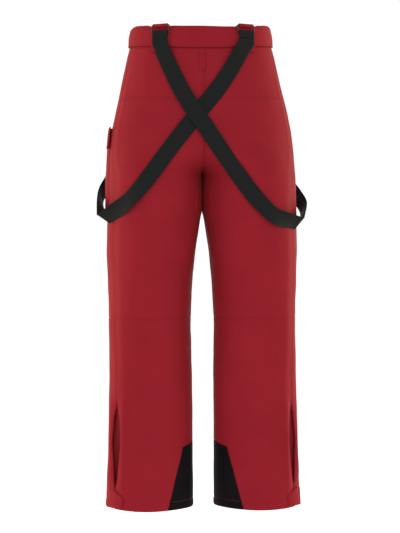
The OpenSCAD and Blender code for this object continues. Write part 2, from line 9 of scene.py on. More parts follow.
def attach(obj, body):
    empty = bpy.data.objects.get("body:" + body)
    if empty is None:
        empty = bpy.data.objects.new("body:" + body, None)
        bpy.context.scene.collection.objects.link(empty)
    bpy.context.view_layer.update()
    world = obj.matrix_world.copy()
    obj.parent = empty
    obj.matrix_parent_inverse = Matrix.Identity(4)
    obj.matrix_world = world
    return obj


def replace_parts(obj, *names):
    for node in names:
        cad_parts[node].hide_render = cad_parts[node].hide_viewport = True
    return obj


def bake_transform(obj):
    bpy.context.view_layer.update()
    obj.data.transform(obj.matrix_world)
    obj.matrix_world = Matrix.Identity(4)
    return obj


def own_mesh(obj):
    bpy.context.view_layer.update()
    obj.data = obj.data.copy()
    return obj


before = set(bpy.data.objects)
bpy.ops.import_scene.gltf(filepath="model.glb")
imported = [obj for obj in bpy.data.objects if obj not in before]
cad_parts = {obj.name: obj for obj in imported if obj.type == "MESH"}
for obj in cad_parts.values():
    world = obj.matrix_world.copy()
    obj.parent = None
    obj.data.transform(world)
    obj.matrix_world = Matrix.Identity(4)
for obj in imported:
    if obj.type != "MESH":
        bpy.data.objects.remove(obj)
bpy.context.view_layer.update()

# Lengths are in millimetres until a mesh is made.
MM = 0.001
HEM_Z = -1022.0
CROTCH_Z = -310.0
SPLIT_Z = -212.0
YOKE_Z = -150.0
HEM_STITCH_Z = HEM_Z + 17
KNEE_Z = -616.0
BAND_TOP_T = 3.4
ROOT = "trousers"

# ---- surfaces

HALF_WIDTH = [(0, 149), (-10, 152), (-33, 153), (-50, 158), (-215, 194), (-267, 200),
              (-320, 203), (-424, 205), (-476, 206), (-528, 204), (-580, 202), (-736, 202),
              (-840, 204), (-918, 206), (-1022, 211), (-1200, 220)]
LEG_GAP = [(-310, 0.6), (-385, 0.8), (-398, 4), (-424, 7.6), (-476, 14), (-528, 19.5),
           (-580, 23), (-632, 25), (-736, 23), (-1200, 22)]
FRONT_DEPTH = [(0, 106), (-50, 110), (-215, 123), (-300, 121), (-400, 112), (-500, 102),
               (-616, 96), (-736, 87), (-900, 77), (-1200, 72)]
BACK_DEPTH = [(0, 112), (-50, 119), (-215, 146), (-270, 148), (-320, 140), (-400, 122),
              (-500, 104), (-616, 88), (-736, 84), (-900, 82), (-1200, 80)]
SLIT = [(-1300, 0), (-984, 0), (-960, 0.012), (-880, 0.028), (-830, 0.018), (-797, 0), (0, 0)]
GUARD = [(-1300, 0.187), (-1022, 0.187), (-946, 0.148), (-892, 0.117), (-881, 0.008),
         (-880, 0), (0, 0)]
SIDE_T = 0.58
SLIT_T = 0.595
SEAM_T = 0.0001
SEAM_Z = 0.06


def table(rows, z):
    rows = sorted(rows)
    return np.interp(z, [r[0] for r in rows], [r[1] for r in rows])


def soft_table(rows, z, reach=12.0):
    """The table with its corners rounded."""
    z = np.asarray(z, float)
    shifts = (-1.0, -0.5, 0.0, 0.5, 1.0)
    return sum(table(rows, z + reach * s) for s in shifts) / len(shifts)


def smooth(x):
    x = np.clip(x, 0.0, 1.0)
    return x * x * (3 - 2 * x)


def bell(x):
    return np.exp(-np.asarray(x, float) ** 2)


def width_at(z):
    return soft_table(HALF_WIDTH, z, 6.0)


def leg_x(z):
    z = np.asarray(z, float)
    upper = width_at(z) / 2 * smooth((SPLIT_Z - z) / (SPLIT_Z - CROTCH_Z))
    lower = (width_at(z) + soft_table(LEG_GAP, z, 6.0)) / 2
    return np.where(z > CROTCH_Z, upper, lower)


def depths(z):
    f, b = soft_table(FRONT_DEPTH, z), soft_table(BACK_DEPTH, z)
    return (f - b) / 2, (f + b) / 2


def seam_t(z):
    return SIDE_T + (SLIT_T - SIDE_T) * smooth((KNEE_Z - np.asarray(z, float)) / 160)


def folds(z, t, side):
    """How far the cloth stands out from its plain shape, in millimetres."""
    z, t = np.broadcast_arrays(np.asarray(z, float), np.asarray(t, float))
    ph = 0.7 if side > 0 else 2.9
    low = smooth((-330 - z) / 120)
    d = 1.1 * low * np.sin(2 * np.pi * (3.0 * t + 0.0009 * z) + ph)
    d = d + 0.7 * low * np.sin(2 * np.pi * (5.0 * t - 0.0017 * z) + 2.1 * ph)
    # Drag lines that leave the crotch, at the back and the front
    for t0, slope, amp, z0 in ((0.985, -0.00030, 1.8, -360), (0.93, -0.00042, 1.5, -390),
                               (0.015, 0.00034, 1.6, -365), (0.07, 0.00046, 1.3, -395)):
        line = t0 + slope * (z0 - z)
        d = d + amp * bell((t - line) / 0.02) * smooth((-318 - z) / 40) * smooth((z + 560) / 150)
    # Soft breaks behind and in front of the knee
    for zk, amp, tilt, tc in ((-585, 1.5, 60, 0.82), (-640, -1.3, -50, 0.78), (-668, 1.2, 40, 0.84),
                              (-560, 1.2, 50, 0.25), (-700, 1.0, -60, 0.22)):
        d = d + amp * bell((z - zk - tilt * (t - tc) + 6
                            * math.sin(ph)) / 15) * bell((t - tc) / 0.17)
    # The side seam draws the cloth in, and the cloth beside it stands out.
    st = seam_t(z)
    on_side = smooth((-60 - z) / 60)
    d = d - 0.5 * on_side * bell((t - st) / 0.010) + 1.1 * on_side * bell((t - st - 0.040) / 0.018)
    d = d + 0.8 * on_side * bell((t - st + 0.035) / 0.02) * np.sin(z / 31.0 + ph)
    # Cloth stands proud along the slit and dips above its top.
    at_slit = smooth((-770 - z) / 50) * smooth((z + 1000) / 60)
    d = d + 3.0 * at_slit * bell((np.abs(t - st) - 0.040) / 0.018)
    d = d + 1.4 * bell((z + 985) / 22) * bell((t - st - 0.09) / 0.06)
    # Fine, irregular unevenness
    d = d + 0.35 * np.sin(z / 17.0 + 9 * t + ph) * np.sin(21 * t + z / 43.0)
    # Attached pieces lie on cloth that is held flat.
    d = d * smooth((-52 - z) / 50)
    d = d * (1 - bell((t - 0.36) / 0.03) * smooth((z + 225) / 20))
    d = d * (1 - bell(np.maximum(0, 0.03 - t) / 0.02) * smooth((z + 225) / 20) * (t < 0.05))
    if side < 0:
        d = d * (1 - bell(np.maximum(0, np.abs(t - 0.464) - 0.086) / 0.02)
                 * bell(np.maximum(0, np.abs(z + 303) - 100) / 14))
    d = d * (1 - 0.9 * smooth((-990 - z) / 12) * bell((t - 0.6) / 0.05))
    return d


def on_leg(z, t, off, side, plain=False):
    """Points of the leg's cloth. t runs from the inner front edge (0) round the outside to the
    inner back edge (1)."""
    z, t, off = np.broadcast_arrays(*(np.asarray(v, float) for v in (z, t, off)))
    if not plain:
        # The thighs press together below the crotch.
        off = off + folds(z, t,
                          side) + 1.6 * bell((z + 345) / 36) * bell(np.minimum(t, 1 - t) / 0.2)
    c = leg_x(z)
    ly, b = depths(z)
    a = width_at(z) - c + off
    b = b + off
    start = np.where(c >= a, 0.0, np.arccos(np.clip(c / a, -1, 1)))
    turn = start + (2 * np.pi - 2 * start) * t
    x = np.maximum(c - a * np.cos(turn), 0.02)
    return np.stack([side * x, ly + b * np.sin(turn), z], -1)


def on_waist(z, t, off):
    z, t, off = np.broadcast_arrays(*(np.asarray(v, float) for v in (z, t, off)))
    ly, b = depths(z)
    turn = 2 * np.pi * t
    return np.stack([(width_at(z) + off) * np.sin(turn), ly + (b + off) * np.cos(turn), z], -1)


# ---- meshes

def make_object(name, verts, faces, uvs=None, flat=None):
    me = bpy.data.meshes.new(name)
    me.from_pydata([tuple(v) for v in np.asarray(verts, float) * MM], [], [tuple(f) for f in faces])
    me.update()
    smooth_flags = np.ones(len(me.polygons), bool)
    if flat is not None:
        smooth_flags[np.asarray(flat)] = False
    me.polygons.foreach_set("use_smooth", smooth_flags)
    if uvs is not None:
        layer = me.uv_layers.new(name="UVMap")
        loops = np.empty(len(me.loops), int)
        me.loops.foreach_get("vertex_index", loops)
        layer.data.foreach_set("uv", np.asarray(uvs, float)[loops].ravel())
    ob = bpy.data.objects.new(name, me)
    bpy.context.collection.objects.link(ob)
    return ob


def two_faced(name, outer, inner, uv):
    """A closed sheet between two grids of points, with a UV map in metres."""
    rows, cols = outer.shape[:2]
    n = rows * cols
    idx = np.arange(n).reshape(rows, cols)
    quads = np.stack([idx[:-1, :-1], idx[:-1, 1:], idx[1:, 1:], idx[1:, :-1]], -1).reshape(-1, 4)
    rims = [np.stack([line[:-1], line[1:], line[1:] + n, line[:-1] + n], -1)
            for line in (idx[0, ::-1], idx[-1], idx[:, 0], idx[::-1, -1])]
    faces = np.concatenate([quads, quads[:, ::-1] + n, np.concatenate(rims)[:, ::-1]])
    # Faces wind so that the outer grid looks outwards.
    i, j = rows // 2 - 1, cols // 2 - 1
    corner = outer[i, j]
    normal = np.cross(outer[i + 1, j] - corner, outer[i, j + 1] - corner)
    if np.dot(normal, corner - inner[i, j]) > 0:
        faces = faces[:, ::-1]
    verts = np.concatenate([outer.reshape(-1, 3), inner.reshape(-1, 3)])
    uvs = np.concatenate([uv.reshape(-1, 2)] * 2)
    return make_object(name, verts, faces, uvs, np.arange(len(quads) * 2, len(faces)))


def steps(a, b, spacing, near=(0.7, 1.6, 3.0, 5.0)):
    """Positions from 0 to the length a-b, closer together by both ends."""
    length = abs(b - a)
    inner = max(2, int(round((length - 12) / spacing)))
    mid = np.linspace(7.5, length - 7.5, inner + 1) if length > 24 else np.array([length / 2])
    s = np.concatenate([[0], near, mid, length - np.array(near[::-1]), [length]])
    s = np.unique(np.clip(s, 0, length))
    return a + (b - a) * s / length


# Millimetres round the leg, and round the waist, for each unit of t
PER_T = 590.0
WAIST_PER_T = 850.0


def panel(name, node_name, z_top, z_bottom, t_from, t_to, body, material, side=1, off=0.0,
          thick=2.4,
          surface="leg", levels=(), spacing=5.0, roll=1.3, pucker=0.22, extra=None, plain=False,
          roll_edges=(1, 1, 1, 1), per_t=PER_T, z_shift=None):
    """One sewn piece of cloth, which replaces the CAD's. Its edges roll in by roll, as far as
    roll_edges (left, right, top, bottom) say so."""
    zs = steps(z_top, z_bottom, spacing)
    zs = np.unique(np.concatenate([zs, np.asarray(levels, float)]))[::-1]
    zs = zs[(zs <= z_top) & (zs >= z_bottom)]
    lo, hi = t_from(zs), t_to(zs)
    span = float(np.max(hi - lo)) * per_t
    u = steps(0.0, span, spacing) / span
    z = zs[:, None] + 0 * u[None, :]
    t = lo[:, None] + (hi - lo)[:, None] * u[None, :]
    left, right = (t - lo[:, None]) * per_t, (hi[:, None] - t) * per_t
    top, bottom = z_top - z, z - z_bottom
    edge = 0 * z
    for d, on, along in ((left, roll_edges[0], z), (right, roll_edges[1], z),
                         (top, roll_edges[2], t * per_t), (bottom, roll_edges[3], t * per_t)):
        if on:
            wave = 1 + pucker * np.sin(along / 1.9) * np.sin(along / 7.3)
            edge = np.maximum(edge, on * wave * bell(d / 2.4))
            ripple = np.sin(along / 2.6 + np.sin(along / 11.0))
            edge = edge + on * pucker * 0.35 * bell((d - 5.5) / 3.0) * ripple
    o = off - roll * edge
    if extra is not None:
        o = o + extra(z, t)
    zz = z if z_shift is None else z + z_shift(z, t)
    if surface == "leg":
        outer = on_leg(zz, t, o, side, plain)
        inner = on_leg(zz, t, o - thick, side, plain)
    else:
        outer = on_waist(zz, t, o)
        inner = on_waist(zz, t, o - thick)
    uv = np.stack([t * per_t * MM, z * MM], -1)
    ob = two_faced(name, outer, inner, uv)
    finish_piece(ob, body, material)
    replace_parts(ob, node_name)


def finish_piece(ob, body, material):
    """Gives a piece its material, and the body it rides on, if it rides on one alone."""
    ob.data.materials.append(material)
    if body:
        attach(ob, body)


def const(v):
    return lambda z: v + 0 * np.asarray(z, float)


STITCH_R = 0.24


def stitch_rows(name, lines, body, material, pitch=3.4, length=2.5, radius=STITCH_R):
    """Threads of real stitches. Each line is (points, normals)."""
    ring = np.linspace(0, 2 * np.pi, 6, endpoint=False)
    template, tri = [], []
    for s, r in ((-0.5, 0.25), (-0.32, 0.9), (0.32, 0.9), (0.5, 0.25)):
        for a in ring:
            template.append((s, r * math.cos(a), r * math.sin(a)))
    template = np.array(template)
    faces = [[i for i in range(5, -1, -1)], [18 + i for i in range(6)]]
    for k in range(3):
        for i in range(6):
            j = (i + 1) % 6
            faces.append([6 * k + i, 6 * k + j, 6 * k + 6 + j, 6 * k + 6 + i])
    verts, polys, base = [], [], 0
    for pts, nrm in lines:
        pts = np.asarray(pts, float)
        seg = np.linalg.norm(np.diff(pts, axis=0), axis=1)
        s = np.concatenate([[0], np.cumsum(seg)])
        count = int(s[-1] / pitch)
        if count < 1:
            continue
        mids = (np.arange(count) + 0.5) * s[-1] / count
        get = lambda v, q: np.stack([np.interp(q, s, v[:, k]) for k in range(3)], -1)
        p = get(pts, mids)
        along = get(pts, np.minimum(mids + 0.5, s[-1])) - get(pts, np.maximum(mids - 0.5, 0))
        along /= np.linalg.norm(along, axis=1)[:, None]
        n = get(np.asarray(nrm, float), mids)
        n -= along * np.sum(n * along, 1)[:, None]
        n /= np.linalg.norm(n, axis=1)[:, None]
        w = np.cross(n, along)
        v = (p[:, None] + along[:, None] * template[None, :, :1] * length
             + w[:, None] * template[None, :, 1:2] * radius
             + n[:, None] * (template[None, :, 2:3] + 0.25) * radius)
        verts.append(v.reshape(-1, 3))
        for i in range(count):
            o = base + i * len(template)
            polys.extend([[q + o for q in f] for f in faces])
        base += count * len(template)
    ob = make_object(name, np.concatenate(verts), polys)
    finish_piece(ob, body, material)
    return ob


def surface_line(z, t, off, side, surface="leg", plain=False):
    """Points and outward directions of a line on the cloth."""
    z, t = np.broadcast_arrays(np.asarray(z, float), np.asarray(t, float))
    if surface == "leg":
        p, q = on_leg(z, t, off, side, plain), on_leg(z, t, off + 1.0, side, plain)
    else:
        p, q = on_waist(z, t, off), on_waist(z, t, off + 1.0)
    return p, q - p


# ---- materials

# The wave texture's scale for one band a metre is 1 / BAND_SCALE.
BAND_SCALE = 6.2832


def nodes_of(name):
    m = bpy.data.materials.new(name)
    m.use_nodes = True
    nt = m.node_tree
    nt.nodes.clear()
    out = nt.nodes.new("ShaderNodeOutputMaterial")
    bsdf = nt.nodes.new("ShaderNodeBsdfPrincipled")
    nt.links.new(bsdf.outputs[0], out.inputs[0])
    return m, nt, bsdf


def node(nt, kind, **values):
    """A node with its properties, and with the values of the inputs whose names follow in_."""
    n = nt.nodes.new(kind)
    for k, v in values.items():
        if k.startswith("in_"):
            n.inputs[k[3:]].default_value = v
        else:
            setattr(n, k, v)
    return n


def ramp(nt, source, low, high, a=0.3, b=0.7):
    r = nt.nodes.new("ShaderNodeValToRGB")
    for stop, place, colour in zip(r.color_ramp.elements, (a, b), (low, high)):
        stop.position = place
        stop.color = (*colour, 1)
    nt.links.new(source, r.inputs[0])
    return r.outputs[0]


def calc(nt, operation, *terms):
    """A sum or product of sockets and plain numbers."""
    n = node(nt, "ShaderNodeMath", operation=operation)
    for k, term in enumerate(terms):
        if isinstance(term, float):
            n.inputs[k].default_value = term
        else:
            nt.links.new(term, n.inputs[k])
    return n.outputs[0]


def noise(nt, vector, scale, detail=2.0, **more):
    n = node(nt, "ShaderNodeTexNoise", in_Scale=scale, in_Detail=detail, **more)
    nt.links.new(vector, n.inputs["Vector"])
    return n.outputs["Fac"]


def bands(nt, vector, way, pitch, distortion, detail=1.0):
    """Threads or ribs side by side, with a pitch in millimetres."""
    n = node(nt, "ShaderNodeTexWave", wave_type="BANDS", bands_direction=way,
             in_Scale=1000 / pitch / BAND_SCALE, in_Distortion=distortion, in_Detail=detail)
    nt.links.new(vector, n.inputs["Vector"])
    return n.outputs["Fac"]


def bump(nt, height, strength, distance):
    n = node(nt, "ShaderNodeBump", in_Strength=strength, in_Distance=distance)
    nt.links.new(height, n.inputs["Height"])
    return n


def shade(nt, bsdf, colour, gloss, rough, spread, relief, **values):
    """Links a colour, a roughness that varies by spread, and a relief, and sets plain inputs."""
    nt.links.new(colour, bsdf.inputs["Base Color"])
    span = ramp(nt, gloss, (rough - spread,) * 3, (rough + spread,) * 3)
    nt.links.new(span, bsdf.inputs["Roughness"])
    nt.links.new(relief.outputs[0], bsdf.inputs["Normal"])
    for k, v in values.items():
        bsdf.inputs[k.replace("_", " ")].default_value = v


def cloth_material(name, low, high, rough=0.68, thread=0.75, weave=0.10, sheen=0.25,
                   sheen_tint=(1, 1, 1), soft=0.25, spec=0.08):
    """Woven cloth: crossing threads of a pitch in millimetres, soft unevenness and sheen."""
    m, nt, bsdf = nodes_of(name)
    uv = node(nt, "ShaderNodeUVMap", uv_map="UVMap").outputs[0]
    obj = node(nt, "ShaderNodeTexCoord").outputs["Object"]
    cross = calc(nt, "MULTIPLY", bands(nt, uv, "X", thread, 0.6), bands(nt, uv, "Y", thread, 0.6))
    fine = noise(nt, obj, 900.0)
    total = calc(nt, "MULTIPLY_ADD", fine, 0.5, cross)
    broad = noise(nt, obj, 9.0, 3.0, in_Roughness=0.55)
    tone = calc(nt, "MULTIPLY_ADD", broad, 0.8, calc(nt, "MULTIPLY", total, 0.28))
    dents = bump(nt, noise(nt, obj, 34.0, 3.0), soft, 0.0012)
    nt.links.new(bump(nt, total, weave, 0.0004).outputs[0], dents.inputs["Normal"])
    shade(nt, bsdf, ramp(nt, tone, low, high, 0.25, 0.85), fine, rough, 0.06, dents,
          Sheen_Weight=sheen,
          Sheen_Roughness=0.45, Sheen_Tint=(*sheen_tint, 1), Specular_IOR_Level=spec)
    return m


def webbing_material(name, low, high):
    """Elastic webbing: close ribs across it over its lengthwise cords."""
    m, nt, bsdf = nodes_of(name)
    uv = node(nt, "ShaderNodeUVMap", uv_map="UVMap").outputs[0]
    ribs, cords = bands(nt, uv, "Y", 1.3, 0.25), bands(nt, uv, "X", 0.9, 0.1, 2.0)
    both = calc(nt, "MULTIPLY_ADD", cords, 0.45, ribs)
    fine = noise(nt, uv, 500.0, 3.0)
    mixed = calc(nt, "MULTIPLY_ADD", both, 0.35, calc(nt, "MULTIPLY", fine, 0.6))
    shade(nt, bsdf, ramp(nt, mixed, low, high, 0.2, 0.8), fine, 0.69, 0.09,
          bump(nt, mixed, 0.35, 0.0005),
          Sheen_Weight=0.02, Specular_IOR_Level=0.06)
    return m


def hard_material(name, low, high, rough, metallic=0.0, grain=700.0, strength=0.08, spec=0.5):
    """Moulded or coated pieces: fine grain and a little unevenness in gloss."""
    m, nt, bsdf = nodes_of(name)
    obj = node(nt, "ShaderNodeTexCoord").outputs["Object"]
    worn = noise(nt, obj, 120.0, 4.0)
    shade(nt, bsdf, ramp(nt, worn, low, high), worn, rough, 0.07,
          bump(nt, noise(nt, obj, float(grain), 3.0), strength, 0.0002), Metallic=metallic,
          Specular_IOR_Level=spec)
    return m


RED = cloth_material("cloth_red", (0.196, 0.0088, 0.0152), (0.238, 0.0112, 0.0188),
                     rough=0.60,
                     sheen=0.07, sheen_tint=(1.0, 0.26, 0.12), spec=0.03)
# Painted shade: the shell's red made darker for the pieces that sit in recesses (the bellows behind
# the slits and the fly shield), standing in for the shade that falls there.
RED_SHADED = cloth_material("cloth_red_painted_shade", (0.13, 0.006, 0.009),
                          (0.17, 0.008, 0.012),
                          rough=0.7, sheen=0.03, sheen_tint=(1.0, 0.4, 0.3))
GUARD_MAT = cloth_material("cloth_guard", (0.0030, 0.0025, 0.0032),
                           (0.0056, 0.0048, 0.0059),
                           rough=0.72, thread=1.1, weave=0.3, sheen=0.01, spec=0.05)
LINING_MAT = cloth_material("cloth_lining", (0.028, 0.029, 0.036), (0.045, 0.047, 0.056),
                            rough=0.5, thread=0.6, weave=0.06, sheen=0.2, soft=0.5)
GAITER_MAT = cloth_material("cloth_gaiter", (0.014, 0.015, 0.018), (0.024, 0.025, 0.030),
                            rough=0.5, thread=0.8, weave=0.12, sheen=0.1, soft=0.5)
THREAD = cloth_material("thread_red", (0.145, 0.0065, 0.011), (0.19, 0.009, 0.015),
                        rough=0.55,
                        thread=0.4, sheen=0.03)
THREAD_BRIGHT = cloth_material("thread_bright_red", (0.24, 0.012, 0.02),
                               (0.31, 0.016, 0.026),
                               rough=0.5, thread=0.4, sheen=0.05)
THREAD_BLACK = cloth_material("thread_black", (0.003, 0.003, 0.003),
                              (0.006, 0.006, 0.006),
                              rough=0.5, thread=0.4, sheen=0.03)
WEB = webbing_material("webbing_black", (0.0056, 0.0064, 0.0062),
                       (0.0108, 0.0124, 0.0118))
RING_MAT = hard_material("ring_black", (0.008, 0.008, 0.009), (0.014, 0.014, 0.015),
                         0.38,
                         metallic=0.2)
PLASTIC = hard_material("moulded_black", (0.010, 0.010, 0.011),
                        (0.018, 0.018, 0.019), 0.45)
GUNMETAL = hard_material("gunmetal", (0.10, 0.10, 0.105), (0.17, 0.17, 0.18), 0.35,
                         metallic=1.0)
PULL_MAT = hard_material("pull_black", (0.012, 0.012, 0.013), (0.02, 0.02, 0.021),
                         0.55)
ZIP_BLACK = cloth_material("zip_tape_black", (0.010, 0.010, 0.011),
                           (0.018, 0.018, 0.02),
                           thread=0.9, weave=0.3, sheen=0.05)
ZIP_RED = cloth_material("zip_tape_red", (0.15, 0.010, 0.015), (0.2, 0.013, 0.02),
                         thread=0.9,
                         weave=0.3, sheen=0.05)
GRIP = hard_material("grip_rubber", (0.006, 0.006, 0.006), (0.012, 0.012, 0.012), 0.6,
                     grain=300,
                     strength=0.3)
HOOK = cloth_material("hook_pad", (0.03, 0.006, 0.008), (0.06, 0.01, 0.014), rough=0.9,
                      thread=1.0, weave=0.9, sheen=0.3, spec=0.1)

SIDES = (("right", 1), ("left", -1))

# ---- waistband


def band_seam(t):
    """Height of the waistband's lower seam round the waist; deepest at the centre back."""
    return -33 - (47 - 33) * smooth(1 - np.abs(0.5 - np.abs(t)) * 4)


def hip_rise(t):
    """Rise of the top edge over the hips."""
    turn = np.abs(0.5 - np.abs(t)) * 360
    rise = 14.4 * (1 - np.cos(np.radians(turn))) * smooth((turn - 42) / 9)
    rise = rise * (1 - smooth((turn - 62) / 33))
    return rise - 1.1 * (1 - smooth((turn - 14) / 12))


def waist_piece(name, t0, t1):
    rows = np.array([0, 0.35, 1.0, 2.0, 3.2, 4.3, 5.4, 7, 10, 14, 18, 22, 26, 30, 33, 35, 36.6,
                     37.8, 38.8, 39.6, 40])
    span = (t1 - t0) * WAIST_PER_T
    ts = t0 + (t1 - t0) * steps(0, span, 5.0) / span
    z = -rows[:, None] + 0 * ts[None, :]
    t = ts[None, :] + 0 * z
    f = z / -40.0
    z = f * band_seam(t)
    crown = np.sqrt(np.clip(1 - (1 - np.clip(rows / 2.0, 0, 1)) ** 2, 0, 1))[:, None]
    lower = np.sqrt(np.clip(1 - (1 - np.clip((40 - rows) / 1.4, 0, 1)) ** 2, 0, 1))[:, None]
    stitch = bell((rows[:, None] - 4.3) / 0.9)
    along = t * WAIST_PER_T
    puck = 0.16 * np.sin(along / 2.4) * np.sin(along / 9.1)
    swell = 0.35 * np.sin(np.pi * f)
    outer_off = 1.7 + (1.7 + swell) * crown * (0.45 + 0.55
                                               * lower) - stitch * (0.55 + puck) + puck * 0.5
    inner_off = 1.7 - 1.7 * crown
    # The top edge bows a little between the sewn-in loops.
    bow = (1 - f) * (0.8 * np.cos(along / 38.0) + hip_rise(t))
    outer = on_waist(z + bow, t, outer_off)
    inner = on_waist(z + bow, t, inner_off)
    ob = two_faced(name, outer, inner, np.stack([along * MM, z * MM], -1))
    finish_piece(ob, ROOT, RED)
    return ob


for nm, t0, t1 in (("waistband_back", 0.2603, 0.7397), ("waistband_front_right", 0.0012, 0.2597),
                   ("waistband_front_left", -0.2597, -0.0012)):
    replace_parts(waist_piece("band_" + nm, t0, t1), nm)
lines = []
for t0, t1 in ((0.262, 0.738), (0.003, 0.258), (-0.258, -0.003)):
    t = np.linspace(t0, t1, 200)
    rise = 0.9 * (0.8 * np.cos(t * WAIST_PER_T / 38.0) + hip_rise(t))
    lines.append(surface_line(-4.3 + rise, t, BAND_TOP_T - 0.35, 1, "waist"))
    lines.append(surface_line(band_seam(t) + 3.0, t, BAND_TOP_T + 0.1, 1, "waist"))
for t0 in (0.2575, 0.2630, -0.2575, -0.2630):
    z = np.linspace(-5, -34, 20)
    lines.append(surface_line(z, t0, BAND_TOP_T + 0.1, 1, "waist"))
stitch_rows("band_stitching", lines, ROOT, THREAD)

# ---- leg panels

GUARD_LEVELS = (-880, -880.6, -881, -883, -886, -889, -891, -892, -893, -946)
SLIT_LEVELS = (-790, -797, -800, -805, -820, -830, -880, -960, -975, -984, -986)


def seam_lo(z):
    return seam_t(z) + SEAM_T


def seam_hi(z):
    return seam_t(z) - SEAM_T


def slit_lo(z):
    return seam_t(z) - soft_table(SLIT, z, 9.0) - SEAM_T


def slit_hi(z):
    return seam_t(z) + soft_table(SLIT, z, 9.0) + SEAM_T


def guard_t(z):
    return table(GUARD, z) + SEAM_T


def fly_edge(z):
    return np.where(z > -206, 0.0152, SEAM_T)


def hem_roll(z, t):
    """A turned-up hem: its stitch line dents the cloth 17 mm above the edge."""
    return -0.7 * bell((z - HEM_STITCH_Z) / 1.3) + 0.5 * smooth((HEM_STITCH_Z - z) / 3) \
        - 1.2 * bell((z - HEM_Z) / 1.6)


def yoke_dip(z, t):
    """The yoke's lower seam sags to the centre back and climbs to the sides."""
    return bell((z - YOKE_Z) / 38) * (5 - 9 * smooth((t - SIDE_T) / 0.42))


def yoke_top(z, t):
    """The yoke's top edge follows the waistband's lower seam."""
    back = 0.25 + 0.25 * np.clip((t - 0.5) * 2, 0, 1)
    return smooth((z + 62) / 21.7) * (band_seam(back) + 40.0) + yoke_dip(z, t)


def hem_drop(z, t):
    """The hem hangs lowest in the middle of each leg's back."""
    return -4.8 * bell((t - 0.74) / 0.13) * smooth((-960 - z) / 50)


for tag, s in SIDES:
    panel(f"yoke_back_{tag}", f"back_yoke_{tag}", -40 - SEAM_Z, YOKE_Z + SEAM_Z,
          const(SIDE_T + SEAM_T), const(1 - SEAM_T),
               ROOT, RED, s, z_shift=yoke_top, roll_edges=(0.4, 1, 1, 0.5))
    panel(f"thigh_back_{tag}", f"back_thigh_{tag}", YOKE_Z - SEAM_Z, KNEE_Z + SEAM_Z, seam_lo,
          const(1 - SEAM_T), ROOT, RED, s,
               levels=(SPLIT_Z, CROTCH_Z), z_shift=yoke_dip, roll_edges=(0.4, 1, 0.5, 0.45))
    panel(f"shin_back_{tag}", f"back_shin_{tag}", KNEE_Z - SEAM_Z, HEM_Z, slit_hi,
          lambda z: 1 - guard_t(z), ROOT, RED, s,
               levels=GUARD_LEVELS + SLIT_LEVELS, roll_edges=(0.5, 1, 0.45, 0), extra=hem_roll,
               z_shift=hem_drop)
    panel(f"thigh_front_{tag}", f"front_thigh_{tag}", -33 - SEAM_Z, KNEE_Z + SEAM_Z, fly_edge,
          seam_hi, ROOT, RED, s,
               levels=(-205.5, -206, -206.5, SPLIT_Z, CROTCH_Z), roll_edges=(1, 0.4, 1, 0.45))
    panel(f"shin_front_{tag}", f"front_shin_{tag}", KNEE_Z - SEAM_Z, HEM_Z, guard_t, slit_lo, ROOT,
          RED, s,
               levels=GUARD_LEVELS + SLIT_LEVELS, roll_edges=(1, 0.5, 0.45, 0), extra=hem_roll)
    panel(f"guard_{tag}", f"scuff_guard_{tag}", -880.4, HEM_Z,
          lambda z: 1 - guard_t(z) + 2 * SEAM_T,
               lambda z: 1 + guard_t(z) - 2 * SEAM_T, ROOT, GUARD_MAT, s, levels=GUARD_LEVELS,
               roll_edges=(1, 1, 1, 0), extra=hem_roll, roll=0.9, z_shift=hem_drop)

# Seam stitching: a row each side of the seams that are topstitched
for tag, s in SIDES:
    lines = []
    for z0, z1, f in ((-52, -150, const(SIDE_T)), (-150, -795, seam_t)):
        z = np.arange(z0, z1, -4.0)
        lines.append(surface_line(z, f(z) + 0.0085, 0.0, s))
    t = np.linspace(SIDE_T + 0.004, 0.996, 90)
    lines.append(surface_line(YOKE_Z - 4.5 + yoke_dip(YOKE_Z - 4.5, t), t, 0.0, s))
    t = np.linspace(0.004, 0.996, 160)
    lines.append(surface_line(KNEE_Z - 4.5, t, 0.0, s))
    z = np.arange(-795.0, -975.0, -3.0)
    for way, f in ((-0.007, slit_lo), (0.007, slit_hi)):
        lines.append(surface_line(z, f(z) + way, 0.0, s))
    z = np.arange(-60.0, -200.0, -4.0)
    lines.append(surface_line(z, 0.992, 0.0, s))
    # Hem stitching on both sides of the guard
    g = float(guard_t(np.array([HEM_STITCH_Z]))[0])
    t = np.linspace(g + 0.004, 0.55, 120)
    lines.append(surface_line(HEM_STITCH_Z, t, -0.65, s))
    t = np.linspace(0.65, 1 - g - 0.004, 90)
    lines.append(surface_line(HEM_STITCH_Z + hem_drop(HEM_STITCH_Z, t), t, -0.65, s))
    t = np.linspace(1 - g + 0.006, 1 + g - 0.006, 90)
    guard_lines = [surface_line(HEM_STITCH_Z + hem_drop(HEM_STITCH_Z, t), t, -0.45, s)]
    stitch_rows(f"leg_stitching_{tag}", lines, ROOT, THREAD)
    stitch_rows(f"guard_stitching_{tag}", guard_lines, ROOT, THREAD_BRIGHT, radius=0.32)

    # Bellows behind the slit
    half = 0.045

    def bellows(z, t):
        depth = 8 * smooth(1 - np.abs(t - SLIT_T) / half) * smooth((-785 - z) / 140)
        crease = 1.6 * np.sin(np.clip((t - SLIT_T) / half, -1,
                                      1) * 3 * np.pi) * smooth((-800 - z) / 60)
        return -2.9 - depth - crease * 0.5 - 0.9

    # Its darker red is painted shade for the recess behind the slit.
    panel(f"gusset_{tag}", f"side_gusset_{tag}", -792, HEM_Z + 3, const(SLIT_T - half),
          const(SLIT_T + half), ROOT, RED_SHADED, s,
               thick=0.9, spacing=3.0, extra=bellows, plain=True, roll=0.0)

# ---- hem tabs

